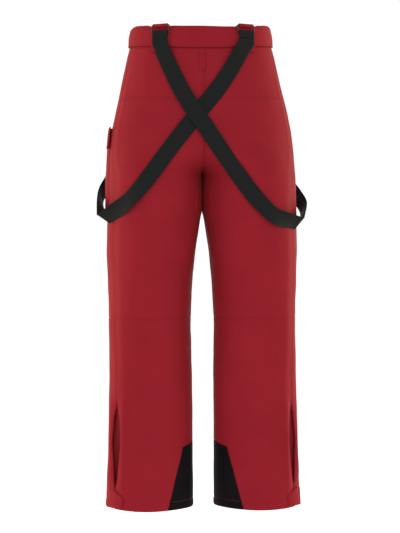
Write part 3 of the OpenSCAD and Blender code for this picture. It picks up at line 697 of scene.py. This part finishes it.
TAB_FROM, TAB_TO, TAB_LIFT, TAB_T = 0.555, 0.642, 1.7, 1.8
for tag, s in SIDES:
    def tab_end(z):
        return TAB_TO - 0.04 * smooth((z + 998) / 14)

    def tab_swell(z, t):
        return 0.25 * np.sin(np.clip((t - TAB_FROM) / 0.08, 0, 1) * np.pi)

    panel(f"ankle_tab_{tag}", f"hem_tab_{tag}", -984, HEM_Z + 1, const(TAB_FROM), tab_end,
          f"hem_tab_{tag}", RED, s,
               off=TAB_LIFT + TAB_T, thick=TAB_T, spacing=2.5, plain=True, roll=0.5, pucker=0.1,
               levels=(-990, -997, -998, -1000), extra=tab_swell)
    lines = []
    t = np.linspace(TAB_FROM + 0.004, TAB_TO - 0.005, 30)
    z = np.linspace(-1001, HEM_Z + 4, 12)
    lines.append(surface_line(HEM_Z + 4.0, t, TAB_LIFT + TAB_T + 0.05, s, plain=True))
    lines.append(surface_line(z, TAB_TO - 0.006, TAB_LIFT + TAB_T + 0.05, s, plain=True))
    z = np.linspace(-988, -999, 10)
    lines.append(surface_line(z, tab_end(z) - 0.006, TAB_LIFT + TAB_T + 0.05, s, plain=True))
    z = np.linspace(-987.5, HEM_Z + 4, 16)
    for dt in (0.006, 0.018):
        lines.append(surface_line(z, TAB_FROM + dt, TAB_LIFT + TAB_T + 0.05, s, plain=True))
    stitch_rows(f"ankle_tab_stitching_{tag}", lines, f"hem_tab_{tag}", THREAD, pitch=3.0,
                length=2.2)
    panel(f"hook_pad_{tag}", "hem_hook_pads", -1000, -1016, const(0.602), const(0.634), ROOT, HOOK,
          s, off=TAB_LIFT - 0.3,
               thick=1.2, spacing=2.5, plain=True, roll=0.3)

# ---- centre back tab, patches


def on_band(name, z0, z1, t0, t1, node_name, off, thick):
    """A stitched piece of cloth on the waistband."""
    panel(name, node_name, z0, z1, const(t0), const(t1), ROOT, RED, 1, off=off, thick=thick,
          surface="waist", per_t=WAIST_PER_T, spacing=3.0, roll=0.55, pucker=0.12)
    in_t, in_z = 0.0035, 2.5
    z = np.linspace(z0 - in_z, z1 + in_z, 40)
    t = np.linspace(t0 + in_t, t1 - in_t, 20)
    rows = [(z, t0 + in_t), (z, t1 - in_t), (z1 + in_z, t)]
    lines = [surface_line(z, t, off + 0.05, 1, "waist") for z, t in rows]
    stitch_rows(name + "_stitching", lines, ROOT, THREAD, pitch=3.0, length=2.2)


on_band("back_tab", -49, -96, 0.498, 0.51, "centre_back_tab", 1.9, 1.5)
for tag, s in SIDES:
    for place, t, low in (("back", 0.4035, -53), ("front", 0.0965, -50)):
        a, b = sorted((s * (t - 0.0235), s * (t + 0.0235)))
        on_band(f"{place}_patch_{tag}", 0.2, low, a, b, f"{place}_strap_patches", 5.3, 1.4)

# ---- inner layers

for tag, s in SIDES:
    def crinkle(z, t, s=s):
        return 0.6 * np.sin(z / 23 + 14 * t * s) * np.sin(31 * t + z / 57) - 0.3

    panel(f"inner_lining_{tag}", f"lining_{tag}", -47.5, -780,
          lambda z: np.where(z > -210, 0.02, 2 * SEAM_T),
               const(1 - 2 * SEAM_T), ROOT, LINING_MAT, s, off=-5.9, thick=0.9, spacing=9.0,
               plain=True,
               roll=0.6, levels=(-209, -210, -211, SPLIT_Z, CROTCH_Z), extra=crinkle)

    def gaiter_off(z):
        return -5.6 - 22 * smooth((-780.4 - z) / 190)

    def ruffle(z, t):
        k = smooth((-880 - z) / 90)
        return gaiter_off(z) + 0.5 + (1.1 * k - 0.4) * np.sin(2 * np.pi * 46 * t) * k \
            - 0.5 * k * np.sin(2 * np.pi * 23 * t + 1.0)

    panel(f"gaiter_{tag}", f"snow_gaiter_{tag}", -780.4, -985, const(0.0015), const(0.9985), ROOT,
          GAITER_MAT, s, thick=1.0,
               spacing=3.4, plain=True, roll=0.0, extra=ruffle, per_t=560.0)
    panel(f"gripper_{tag}", "gaiter_grippers", -985.4, -1010, const(0.0015), const(0.9985), ROOT,
          GRIP, s,
               off=float(gaiter_off(-1000)) + 0.5, thick=2.2, spacing=4.0, plain=True, roll=0.9,
               pucker=0.4,
               per_t=450.0, extra=lambda z, t: 0.5 * np.sin(z / 1.6) * bell((z + 998) / 9))

# The fly shield's darker red is painted shade for its recess behind the fly.
panel("fly_shield", "fly_guard", -52, -214, const(-0.035), const(0.035), ROOT, RED_SHADED, 1,
      off=-4.2, thick=1.0,
           surface="waist", per_t=WAIST_PER_T, spacing=4.0, roll=0.4)
for tag, s in SIDES:
    panel(f"pocket_bag_{tag}", "pocket_bags", -66, -230, const(0.2), const(0.38), ROOT, LINING_MAT,
          s, off=-2.9, thick=1.7,
               plain=True, roll=0.4, levels=(SPLIT_Z,))

# ---- thigh pocket

# Where the pocket starts and ends round the leg, and how far it and its flap stand out
PK0, PK1 = 0.388, 0.54
POCKET_OFF, FLAP_OFF = 1.2, 7.4


def pouch(z, t):
    lift = 4.0 * smooth(4.5 * np.minimum(t - PK0, PK1 - t) / (PK1 - PK0)) * smooth((z + 406) / 26)
    return lift * smooth((-208
                          - z) / 40) - 0.9 * bell((t - 0.464) / 0.008) * smooth((z + 398) / 10) \
        + 0.35 * np.sin(z / 14.0) * np.sin(40 * t)


panel("cargo_pocket", "thigh_pocket", -215, -400, const(PK0), const(PK1), ROOT, RED, -1,
      off=POCKET_OFF, thick=1.0, extra=pouch,
           plain=True, roll=0.7)
z, t = np.linspace(-220, -397, 70), np.linspace(PK0 + 0.005, PK1 - 0.005, 60)
rows = [(z, PK0 + 0.005), (z, PK1 - 0.005), (-397.0, t)]
lines = [surface_line(z, t, POCKET_OFF + pouch(z, t), -1, plain=True) for z, t in rows]
stitch_rows("cargo_pocket_stitching", lines, ROOT, THREAD)
FL0, FL1 = PK0 - 0.006, PK1 + 0.006


def flap_shape(z, t):
    return 0.5 * np.sin((t - FL0) / (FL1 - FL0) * np.pi) - 0.25 * bell((z + 240) / 9)


panel("cargo_flap", "thigh_pocket_flap", -206, -252, const(FL0), const(FL1), "thigh_flap", RED, -1,
      off=FLAP_OFF, thick=1.5,
           spacing=3.0, plain=True, roll=0.5, extra=flap_shape)
z, t = np.linspace(-210, -249, 26), np.linspace(FL0 + 0.005, FL1 - 0.005, 60)
rows = [(-211.0, t), (-248.5, t), (z, FL0 + 0.005), (z, FL1 - 0.005)]
lines = [surface_line(z, t, FLAP_OFF + flap_shape(z, t), -1, plain=True) for z, t in rows]
stitch_rows("cargo_flap_stitching", lines, "thigh_flap", THREAD)

# ---- hardware from the CAD


def dressed(node_name, name, body, material, width=0.35, segments=2, angle=25.0):
    """A copy of a CAD node with its flat faces joined and its edges rounded."""
    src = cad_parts[node_name]
    bm = bmesh.new()
    bm.from_mesh(src.data)
    bm.transform(src.matrix_world)
    bmesh.ops.remove_doubles(bm, verts=bm.verts, dist=2e-6)
    bmesh.ops.dissolve_limit(bm, angle_limit=math.radians(1.5), verts=bm.verts, edges=bm.edges)
    sharp = [e for e in bm.edges
             if len(e.link_faces) == 2 and e.calc_face_angle(0) > math.radians(angle)]
    bmesh.ops.bevel(bm, geom=sharp, offset=width * MM, segments=segments, profile=0.6,
                    affect="EDGES",
                    clamp_overlap=True)
    bmesh.ops.triangulate(bm, faces=[f for f in bm.faces if len(f.verts) > 4])
    me = bpy.data.meshes.new(name)
    bm.to_mesh(me)
    bm.free()
    for p in me.polygons:
        p.use_smooth = True
    ob = bpy.data.objects.new(name, me)
    bpy.context.collection.objects.link(ob)
    me.set_sharp_from_angle(angle=math.radians(35))
    finish_piece(ob, body, material)
    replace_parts(ob, node_name)
    return ob


dressed("fly_slider", "fly_zip_slider", "fly_slider", GUNMETAL, 0.22)
dressed("fly_pull", "fly_zip_pull", "fly_pull", PULL_MAT, 0.4)
dressed("waist_tab", "waistband_overlap", "waist_tab", RED, 0.5, 3)
dressed("snap_caps", "snap_tops", "waist_tab", PLASTIC, 0.3)
dressed("snap_studs", "snap_posts", ROOT, GUNMETAL, 0.15)
dressed("fly_placket", "fly_frame", ROOT, RED, 0.8, 3)
for tag, s in SIDES:
    dressed(f"pocket_slider_{tag}", f"hand_zip_slider_{tag}", f"pocket_slider_{tag}", GUNMETAL,
            0.22)
    dressed(f"pocket_pull_{tag}", f"hand_zip_pull_{tag}", f"pocket_pull_{tag}", PULL_MAT, 0.4)
    dressed(f"adjuster_{tag}", f"strap_slide_{tag}", f"adjuster_{tag}", PLASTIC, 0.5, 3)
    for place in ("back", "front"):
        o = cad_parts[f"{place}_ring_{tag}"]
        o.data.materials.clear()
        o.data.materials.append(RING_MAT)
dressed("strap_loops", "ring_loops", ROOT, RED, 0.35, 2)

# ---- zips

TAPE_LIFT, TAPE_T, CHAIN_W, CHAIN_T = 2.2, 0.8, 6.0, 2.4


def zip_frame(top, bottom, out):
    top, bottom, out = (np.asarray(v, float) for v in (top, bottom, out))
    up = (top - bottom) / np.linalg.norm(top - bottom)
    across = np.cross(out, up)
    across /= np.linalg.norm(across)
    face = np.cross(up, across)
    return top, across, face, up


def zip_line(name, fr, length, tape_w, node_name, tape_mat, teeth_mat):
    """Woven tape on two welts, with two rows of teeth that almost meet."""
    top, across, face, up = fr
    place = lambda p: top + p[..., :1] * across + p[..., 1:2] * face + p[..., 2:3] * up
    mid = TAPE_LIFT + TAPE_T / 2
    for way in (-1, 1):
        xs = np.array([2.7, 3.2, 4.5, 6.0, 8.0, tape_w / 2 - 2.5, tape_w / 2 - 0.6, tape_w / 2])
        zs = np.linspace(-0.2, -length, int(length / 4))
        X, Z = np.meshgrid(xs, zs)
        bulge = 0.25 * bell((X - 4.0) / 1.2)
        P = lambda y: place(np.stack([way * X, mid + y + 0 * X, Z], -1))
        ob = two_faced(f"{name}_tape_{'l' if way < 0 else 'r'}", P(0.4 + bulge), P(-0.4),
                       np.stack([X * MM, Z * MM], -1))
        finish_piece(ob, ROOT, tape_mat)
        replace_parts(ob, node_name)
    # Teeth: rounded coils from each side
    verts, faces, base = [], [], 0
    prof = []
    for x, r in ((0.62, 0.45), (0.8, 0.95), (1.6, 1.12), (2.3, 1.05), (2.85, 0.6)):
        for k in range(8):
            a = k * math.pi / 4 + math.pi / 8
            prof.append((x, r * math.cos(a), 0.62 * r * math.sin(a)))
    prof = np.array(prof)
    cell = [[8 * i + k, 8 * i + (k + 1) % 8, 8 * i + 8 + (k + 1) % 8, 8 * i + 8 + k]
            for i in range(4) for k in range(8)]
    caps = [list(range(7, -1, -1)), [32 + k for k in range(8)]]
    pitch = 1.6
    for i in range(int((length - 4) / pitch)):
        for way in (-1, 1):
            q = prof.copy()
            q[:, 0] *= way
            q[:, 1] += mid
            q[:, 2] += -1.0 - i * pitch - (pitch / 2 if way > 0 else 0)
            verts.append(place(q))
            fs = cell + caps
            faces.extend([[k + base for k in (f if way > 0 else f[::-1])] for f in fs])
            base += 40
    ob = make_object(name + "_teeth", np.concatenate(verts), faces)
    finish_piece(ob, ROOT, teeth_mat)
    return ob


f_top, f_bottom = -54.0, -204.0
fly = zip_frame([0, table(FRONT_DEPTH, f_top), f_top], [0, table(FRONT_DEPTH, f_bottom), f_bottom],
                [0, 1, 0])
zip_line("fly_zip", fly, 150.0, 24.0, "fly_zip_tape", ZIP_BLACK, PULL_MAT)
for tag, s in SIDES:
    a = on_leg(-72.0, 0.36, 0.0, s, True)
    b = on_leg(-204.0, 0.36, 0.0, s, True)
    d = on_leg(-100.0, 0.34, 0.0, s, True) - on_leg(-100.0, 0.38, 0.0, s, True)
    out = s * np.cross(d, [0, 0, 1])
    zip_line(f"hand_zip_{tag}", zip_frame(a, b, out), 132.0, 22.0, f"pocket_zip_tape_{tag}",
             ZIP_RED, PULL_MAT)

# ---- suspenders

STRAP_W, STRAP_T, WIRE_R, BAR_GAP, RING_H, RING_TOP = 35.0, 1.6, 1.4, 0.1, 13.0, 1.5
BACK_TAB_T, END_L, FRONT_L, LEAN, BACK_LEAN = 0.4035, 14.0, 128.0, 7.0, 8.0
FRONT_TAB_T = 0.5 - BACK_TAB_T
HANG_OFF = BAND_TOP_T + 0.5 + 1.4 + 4
LAYER_Y = WIRE_R + BAR_GAP


def plain_leg(z):
    """Centre, half width, middle and half depth of the plain cloth at a level."""
    f, b = float(table(FRONT_DEPTH, z)), float(table(BACK_DEPTH, z))
    w = float(table(HALF_WIDTH, z))
    if z > CROTCH_Z:
        c = w / 2 * float(smooth((SPLIT_Z - z) / (SPLIT_Z - CROTCH_Z)))
    else:
        c = (w + float(table(LEG_GAP, z))) / 2
    return c, w - c, (f - b) / 2, (f + b) / 2


def ring_pivot(t):
    turn = 2 * math.pi * t
    return np.array([(149 + HANG_OFF) * math.sin(turn), -3 + (109 + HANG_OFF) * math.cos(turn),
                     RING_TOP])


def ring_axes(t):
    """Across the ring, outwards, and up."""
    e = 2 * math.pi * 0.01
    turn = 2 * math.pi * t
    d = np.array([149 * (math.sin(turn + e) - math.sin(turn - e)),
                  109 * (math.cos(turn + e) - math.cos(turn - e)), 0])
    d /= np.linalg.norm(d)
    return d, np.array([-d[1], d[0], 0.0]), np.array([0, 0, 1.0])


def hang_point(t, y, z, lean):
    a = math.radians(lean)
    _, out, up = ring_axes(t)
    return ring_pivot(t) + out * (y * math.cos(a) - z
                                  * math.sin(a)) + up * (y * math.sin(a) + z * math.cos(a))


def hang_out(t, lean):
    a = math.radians(lean)
    _, out, up = ring_axes(t)
    return out * math.cos(a) + up * math.sin(a)


def hang_row(t, y, z, lean):
    return hang_point(t, y, z, lean), hang_out(t, lean)


def over(way, x, z, gap):
    """A point over the cloth at a given gap, and the way the cloth looks there."""
    c, a, ly, b = plain_leg(z)
    s = (abs(x) - c) / (a + gap)
    p = np.array([x, ly + way * (b + gap) * math.sqrt(max(0, 1 - s * s)), z])
    s = (abs(x) - c) / a
    n = np.array([(-1 if x < 0 else 1) * s / a, way * math.sqrt(max(0, 1 - s * s)) / b, 0])
    return p, n / np.linalg.norm(n)


def hip(side, turn, z, gap, tilt):
    """A row beside a hip: turn runs from 0 at the leg's back over 90 at its outer side."""
    c, a, ly, b = plain_leg(z)
    a, b, turn = a + gap, b + gap, math.radians(turn)
    p = np.array([side * (c + a * math.sin(turn)), ly - b * math.cos(turn), z])
    n = np.array([side * b * math.sin(turn), -a * math.cos(turn), -a * tilt])
    return p, n / np.linalg.norm(n)


def crease(a, k, b, r=5.0):
    """Rows of webbing that folds sharply at k on its way from a to b."""
    unit = lambda v: v / np.linalg.norm(v)
    d1, d2 = unit(k - a), unit(b - k)
    across = unit(np.cross(d1, d2))
    n1, n2 = np.cross(d1, across), np.cross(d2, across)
    half = math.acos(float(np.dot(d1, d2))) / 2
    cut, inset = r * math.tan(half), r / math.cos(half) - r
    return [(k - d1 * 12, n1), (k - d1 * cut, n1), (k + unit(d2 - d1) * inset, unit(n1 + n2)),
            (k + d2 * cut, n2), (k + d2 * 12, n2)]


def route(side, back, hip_in, corner, hip_out, front):
    """Rows of a strap from its sewn end at the back, over the other hip, to its front ring."""
    rows = [hang_row(-side * BACK_TAB_T, 0, -RING_H - END_L - d, BACK_LEAN) for d in (0.3, 3.5, 8)]
    rows += [over(-1, *r) for r in back] + [hip(side, *hip_in)]
    after = [hip(side, *r) for r in hip_out]
    rows += crease(rows[-1][0], np.array(corner, float), after[0][0])
    rows += after + [over(1, *r) for r in front]
    y = LAYER_Y + STRAP_T / 2
    return rows + [hang_row(side * FRONT_TAB_T, y, -RING_H - FRONT_L - d,
                            LEAN) for d in (26, 9, 0.3)]


ROUTES = {
    "left": route(
        1, [(-89, -43, 8), (-84, -58, 7), (-75, -80, 5), (-60, -114, 4.6), (-42, -150, 6.6),
            (-21, -184, 7.8), (2, -218, 7), (26, -255, 5.6), (52, -292, 4.4), (77, -327, 4.4),
            (101, -358, 5), (126, -384, 6.5)],
        (26, -404, 8, 0.1), (204, -74, -417),
        [(94, -382, 19, 0.45), (110, -356, 18, 0.3), (125, -328, 16, 0.15)],
        [(176, -291, 15), (154, -252, 14), (130, -216, 13)]),
    "right": route(
        -1, [(86, -43, 8), (77, -57, 7), (64, -80, 4.4), (40, -118, 3), (16, -150, 2.6),
             (-11, -182, 2.6), (-39, -216, 2.6), (-66, -250, 3), (-92, -285, 3.6),
             (-117, -318, 4.4),
             (-142, -348, 6)],
        (37, -374, 8, 0.1), (-213, -60, -405),
        [(103, -356, 18, 0.3), (119, -326, 16, 0.15)],
        [(-177, -286, 15), (-154, -248, 14), (-130, -214, 13)]),
}


def catmull(rows, k, sub):
    pts = np.array([r[k] for r in rows], float)
    n = len(pts)
    out = []
    for i in range(n - 1):
        a, b, c, d = pts[max(i - 1, 0)], pts[i], pts[i + 1], pts[min(i + 2, n - 1)]
        for j in range(sub):
            s = j / sub
            out.append(0.5 * (2 * b + (c - a) * s + (2 * a - 5 * b + 4 * c - d) * s * s
                              + (3 * b - a - 3 * c + d) * s ** 3))
    out.append(pts[-1])
    return np.array(out)


def band_section(width, thick):
    """Round-edged section of webbing, as (across, out) pairs with their distance round it."""
    h, r = width / 2, thick / 2
    pts = []
    for k in range(5):
        a = math.pi / 2 - k * math.pi / 4
        pts.append((h - r + r * math.cos(a), r * math.sin(a)))
    for k in range(5):
        a = -math.pi / 2 - k * math.pi / 4
        pts.append((-h + r + r * math.cos(a), r * math.sin(a)))
    mid_low = [(h - r - (2 * (h - r)) * f, -r) for f in np.linspace(0, 1, 8)[1:-1]]
    mid_top = [(-h + r + (2 * (h - r)) * f, r) for f in np.linspace(0, 1, 8)[1:-1]]
    return np.array(pts[:5] + mid_low + pts[5:] + mid_top)


def web_frame(centre, face):
    """The directions across and out of webbing, and the distance along it."""
    along = np.gradient(centre, axis=0)
    along /= np.linalg.norm(along, axis=1)[:, None]
    side = np.cross(face, along)
    side /= np.linalg.norm(side, axis=1)[:, None]
    run = np.concatenate([[0], np.cumsum(np.linalg.norm(np.diff(centre, axis=0), axis=1))])
    return side, np.cross(along, side), run


def webbing(name, node_name, centre, face, body, rests_on, held="hung"):
    """Webbing along a middle line. Without a body it is left unattached."""
    side, out, run = web_frame(centre, face)
    sec = band_section(STRAP_W, STRAP_T)
    v = centre[:, None] + side[:, None] * sec[None, :, :1] + out[:, None] * sec[None, :, 1:2]
    n, m = v.shape[:2]
    idx = np.arange(n * m).reshape(n, m)
    nxt = np.roll(idx, -1, 1)
    faces = np.stack([idx[:-1], idx[1:], nxt[1:], nxt[:-1]], -1).reshape(-1, 4).tolist()
    faces += [list(range(m)), [(n - 1) * m + k for k in range(m - 1, -1, -1)]]
    # Outward winding, from the first face's normal
    p = v.reshape(-1, 3)
    f0 = faces[0]
    nrm = np.cross(p[f0[1]] - p[f0[0]], p[f0[3]] - p[f0[0]])
    if np.dot(nrm, p[f0[0]] - centre[0]) < 0:
        faces = [f[::-1] for f in faces]
    u = np.broadcast_to(sec[None, :, 0], (n, m))
    uv = np.stack([u, np.broadcast_to(run[:, None], (n, m))], -1).reshape(-1, 2) * MM
    ob = make_object(name, p, faces, uv, [len(faces) - 2, len(faces) - 1])
    finish_piece(ob, body, WEB)
    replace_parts(ob, node_name)
    return ob


def web_stitches(centre, face, lines):
    """Stitch lines on webbing: each line is a list of (distance along, distance across)."""
    side, out, run = web_frame(centre, face)
    made = []
    for line in lines:
        q = np.concatenate([np.linspace(a, b, 12) for a, b in zip(line, line[1:])])
        get = lambda v: np.stack([np.interp(q[:, 0], run, v[:, k]) for k in range(3)], -1)
        made.append((get(centre) + get(side) * q[:, 1:] + get(out) * (STRAP_T / 2 + 0.05),
                     get(out)))
    return made


def hang_path(pts, t, lean):
    """Rows of webbing through points (out, up) in the plane that hangs from a ring."""
    pts = np.array(pts)
    d = np.gradient(pts, axis=0)
    nrm = np.stack([d[:, 1], -d[:, 0]], -1)
    centre = np.array([hang_point(t, y, z, lean) for y, z in pts])
    return centre, np.array([hang_point(t, y, z, lean) for y, z in pts + nrm]) - centre


def fold_path(t, lean, below_out, below_in):
    """Webbing that comes up the outside, wraps the ring's lower bar and goes down inside."""
    y0 = LAYER_Y + STRAP_T / 2
    pts = []
    for z in np.linspace(-RING_H - below_out, -RING_H, max(3, int(below_out / 5))):
        pts.append((y0, z))
    for a in np.linspace(0, math.pi, 15)[1:-1]:
        pts.append((y0 * math.cos(a), -RING_H + y0 * math.sin(a)))
    for z in np.linspace(-RING_H, -RING_H - below_in, max(3, int(below_in / 5))):
        pts.append((-y0, z))
    return hang_path(pts, t, lean)


def sewn_end_path(t):
    """The back end: doubled webbing pinched together below the ring."""
    y0 = LAYER_Y + STRAP_T / 2
    y1 = STRAP_T / 2 + 0.02
    zs = np.linspace(-END_L, -1.5, 10)
    gap = y1 + (y0 - y1) * smooth((zs + 9) / 8)
    pts = list(zip(gap, zs - RING_H))
    for a in np.linspace(0, math.pi, 15):
        pts.append((y0 * math.cos(a), -RING_H + y0 * math.sin(a)))
    pts += list(zip(-gap[::-1], zs[::-1] - RING_H))
    return hang_path(pts, t, BACK_LEAN)


# Steps from each row of a route to the next
SUB = 10
for tag, s in SIDES:
    rows = ROUTES[tag]
    centre, face = catmull(rows, 0, SUB), catmull(rows, 1, SUB)
    cut = next(i for i, r in enumerate(rows) if r[0][1] > 30) * SUB
    other = "left" if s > 0 else "right"
    back, front = (centre[:cut + 1], face[:cut + 1]), (centre[cut:], face[cut:])
    ob = webbing(f"suspender_{tag}", f"strap_{tag}", *back, None, f"back_ring_{tag}")
    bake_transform(ob)
    ob = webbing(f"suspender_lower_{tag}", f"strap_{tag}", *front, None, f"front_ring_{other}")
    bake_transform(ob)
    # Sewn end at the back ring
    ring = f"back_ring_{tag}"
    c, o = sewn_end_path(s * BACK_TAB_T)
    webbing(f"suspender_end_{tag}", f"strap_end_{tag}", c, o, ring, ring, "folded")
    h = STRAP_W / 2 - 2
    stitch_rows(f"suspender_end_stitching_{tag}",
                web_stitches(c, o, [[(d, -h), (d, h)] for d in (3.0, 6.0)]),
                ring, THREAD_BLACK, pitch=2.6, length=2.0)
    # Front stretch: outer layer and fold, then the layer that returns to the slide
    ring, t = f"front_ring_{tag}", s * FRONT_TAB_T
    c, o = fold_path(t, LEAN, FRONT_L, 0.6)
    webbing(f"front_webbing_{tag}", f"front_strap_{tag}", c, o, ring, ring)
    z = np.linspace(-RING_H - 3.0, -109.0, 24)
    c = np.array([hang_point(t, -LAYER_Y - STRAP_T / 2, v, LEAN) for v in z])
    o = np.array([-hang_out(t, LEAN)] * len(z))
    ob = webbing(f"return_webbing_{tag}", f"strap_return_{tag}", c, o, ring, ring)
    axis = hang_point(t, 0, 1, LEAN) - hang_point(t, 0, 0, LEAN)
    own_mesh(ob)

# The crossing is sewn: a box on the upper strap, where both overlap.
c, f = catmull(ROUTES["left"], 0, SUB), catmull(ROUTES["left"], 1, SUB)
length = np.concatenate([[0], np.cumsum(np.linalg.norm(np.diff(c, axis=0), axis=1))])
near = length[np.argmin(np.abs(c[:, 0] + 5) + 1000 * (c[:, 2] < -260) + 1000 * (c[:, 1] > 0))]
h = STRAP_W / 2 - 2.5
box = [(near - 19, -h), (near + 11, -h), (near + 19, h), (near - 11, h), (near - 19, -h)]
stitch_rows("crossing_stitching", web_stitches(c, f, [box]), ROOT, THREAD_BLACK, pitch=2.8,
            length=2.1)

# ---- stage, camera, light


FLOOR_Z = -1.3
FLOOR_R = 60.0


def backdrop():
    """A wide, pale, round floor."""
    ring = np.linspace(0, 2 * math.pi, 64, endpoint=False)
    verts = [(FLOOR_R * math.cos(a), FLOOR_R * math.sin(a), FLOOR_Z) for a in ring]
    me = bpy.data.meshes.new("backdrop")
    me.from_pydata(verts, [], [list(range(64))])
    ob = bpy.data.objects.new("backdrop", me)
    bpy.context.collection.objects.link(ob)
    m, nt, bsdf = nodes_of("backdrop_paper")
    n1 = node(nt, "ShaderNodeTexNoise", in_Scale=40.0)
    paper = ramp(nt, n1.outputs["Fac"], (0.97,) * 3, (0.99,) * 3)
    nt.links.new(paper, bsdf.inputs["Base Color"])
    bsdf.inputs["Roughness"].default_value = 0.9
    bsdf.inputs["Specular IOR Level"].default_value = 0.1
    me.materials.append(m)


backdrop()


def area_light(name, place, target, size, power, colour=(1, 1, 1), size_y=None):
    data = bpy.data.lights.new(name, "AREA")
    data.shape = "RECTANGLE"
    data.size, data.size_y = size, size_y or size
    data.energy, data.color = power, colour
    ob = bpy.data.objects.new(name, data)
    ob.location = place
    ob.rotation_euler = (Vector(target) - Vector(place)).to_track_quat("-Z", "Y").to_euler()
    bpy.context.collection.objects.link(ob)
    return ob


area_light("key", (-0.35, -3.9, 0.5), (0, 0, -0.5), 3.0, 24, size_y=2.4)
area_light("fill", (1.2, -3.4, -0.4), (0, 0, -0.5), 2.4, 4, size_y=2.4)
area_light("rim_left", (-2.4, 0.9, -0.3), (0, 0, -0.5), 1.0, 46, (1.0, 0.66, 0.5), 2.2)
area_light("rim_right", (2.4, 1.1, -0.3), (0, 0, -0.5), 1.0, 46, (1.0, 0.66, 0.5), 2.2)
area_light("front", (0.6, 3.8, 0.6), (0, 0, -0.5), 3.0, 24, size_y=2.4)

scene = bpy.context.scene
world = bpy.data.worlds.new("studio")
world.use_nodes = True
world.node_tree.nodes["Background"].inputs[0].default_value = (1, 1, 1, 1)
world.node_tree.nodes["Background"].inputs[1].default_value = 1.05
scene.world = world
scene.view_settings.view_transform = "Standard"

# The camera's distance, the width it sees there, its height, and its turn to the object's back
CAMERA_FAR, VIEW_WIDTH, CAMERA_Z = 3.6, 400 * 0.00217, -0.507
CAMERA_TURN, CAMERA_ROLL = math.radians(3.4), math.radians(-0.4)
cam_data = bpy.data.cameras.new("camera")
cam_data.sensor_fit = "HORIZONTAL"
cam_data.sensor_width = 36.0
cam_data.lens = cam_data.sensor_width * CAMERA_FAR / VIEW_WIDTH
camera = bpy.data.objects.new("camera", cam_data)
camera.location = (-CAMERA_FAR * math.sin(CAMERA_TURN) - 0.0044,
                   -CAMERA_FAR * math.cos(CAMERA_TURN), CAMERA_Z)
camera.rotation_euler = (Matrix.Rotation(-CAMERA_TURN, 3,
                                         "Z") @ Matrix.Rotation(math.radians(90), 3, "X")
                         @ Matrix.Rotation(CAMERA_ROLL, 3, "Z")).to_euler()
bpy.context.collection.objects.link(camera)
scene.camera = camera
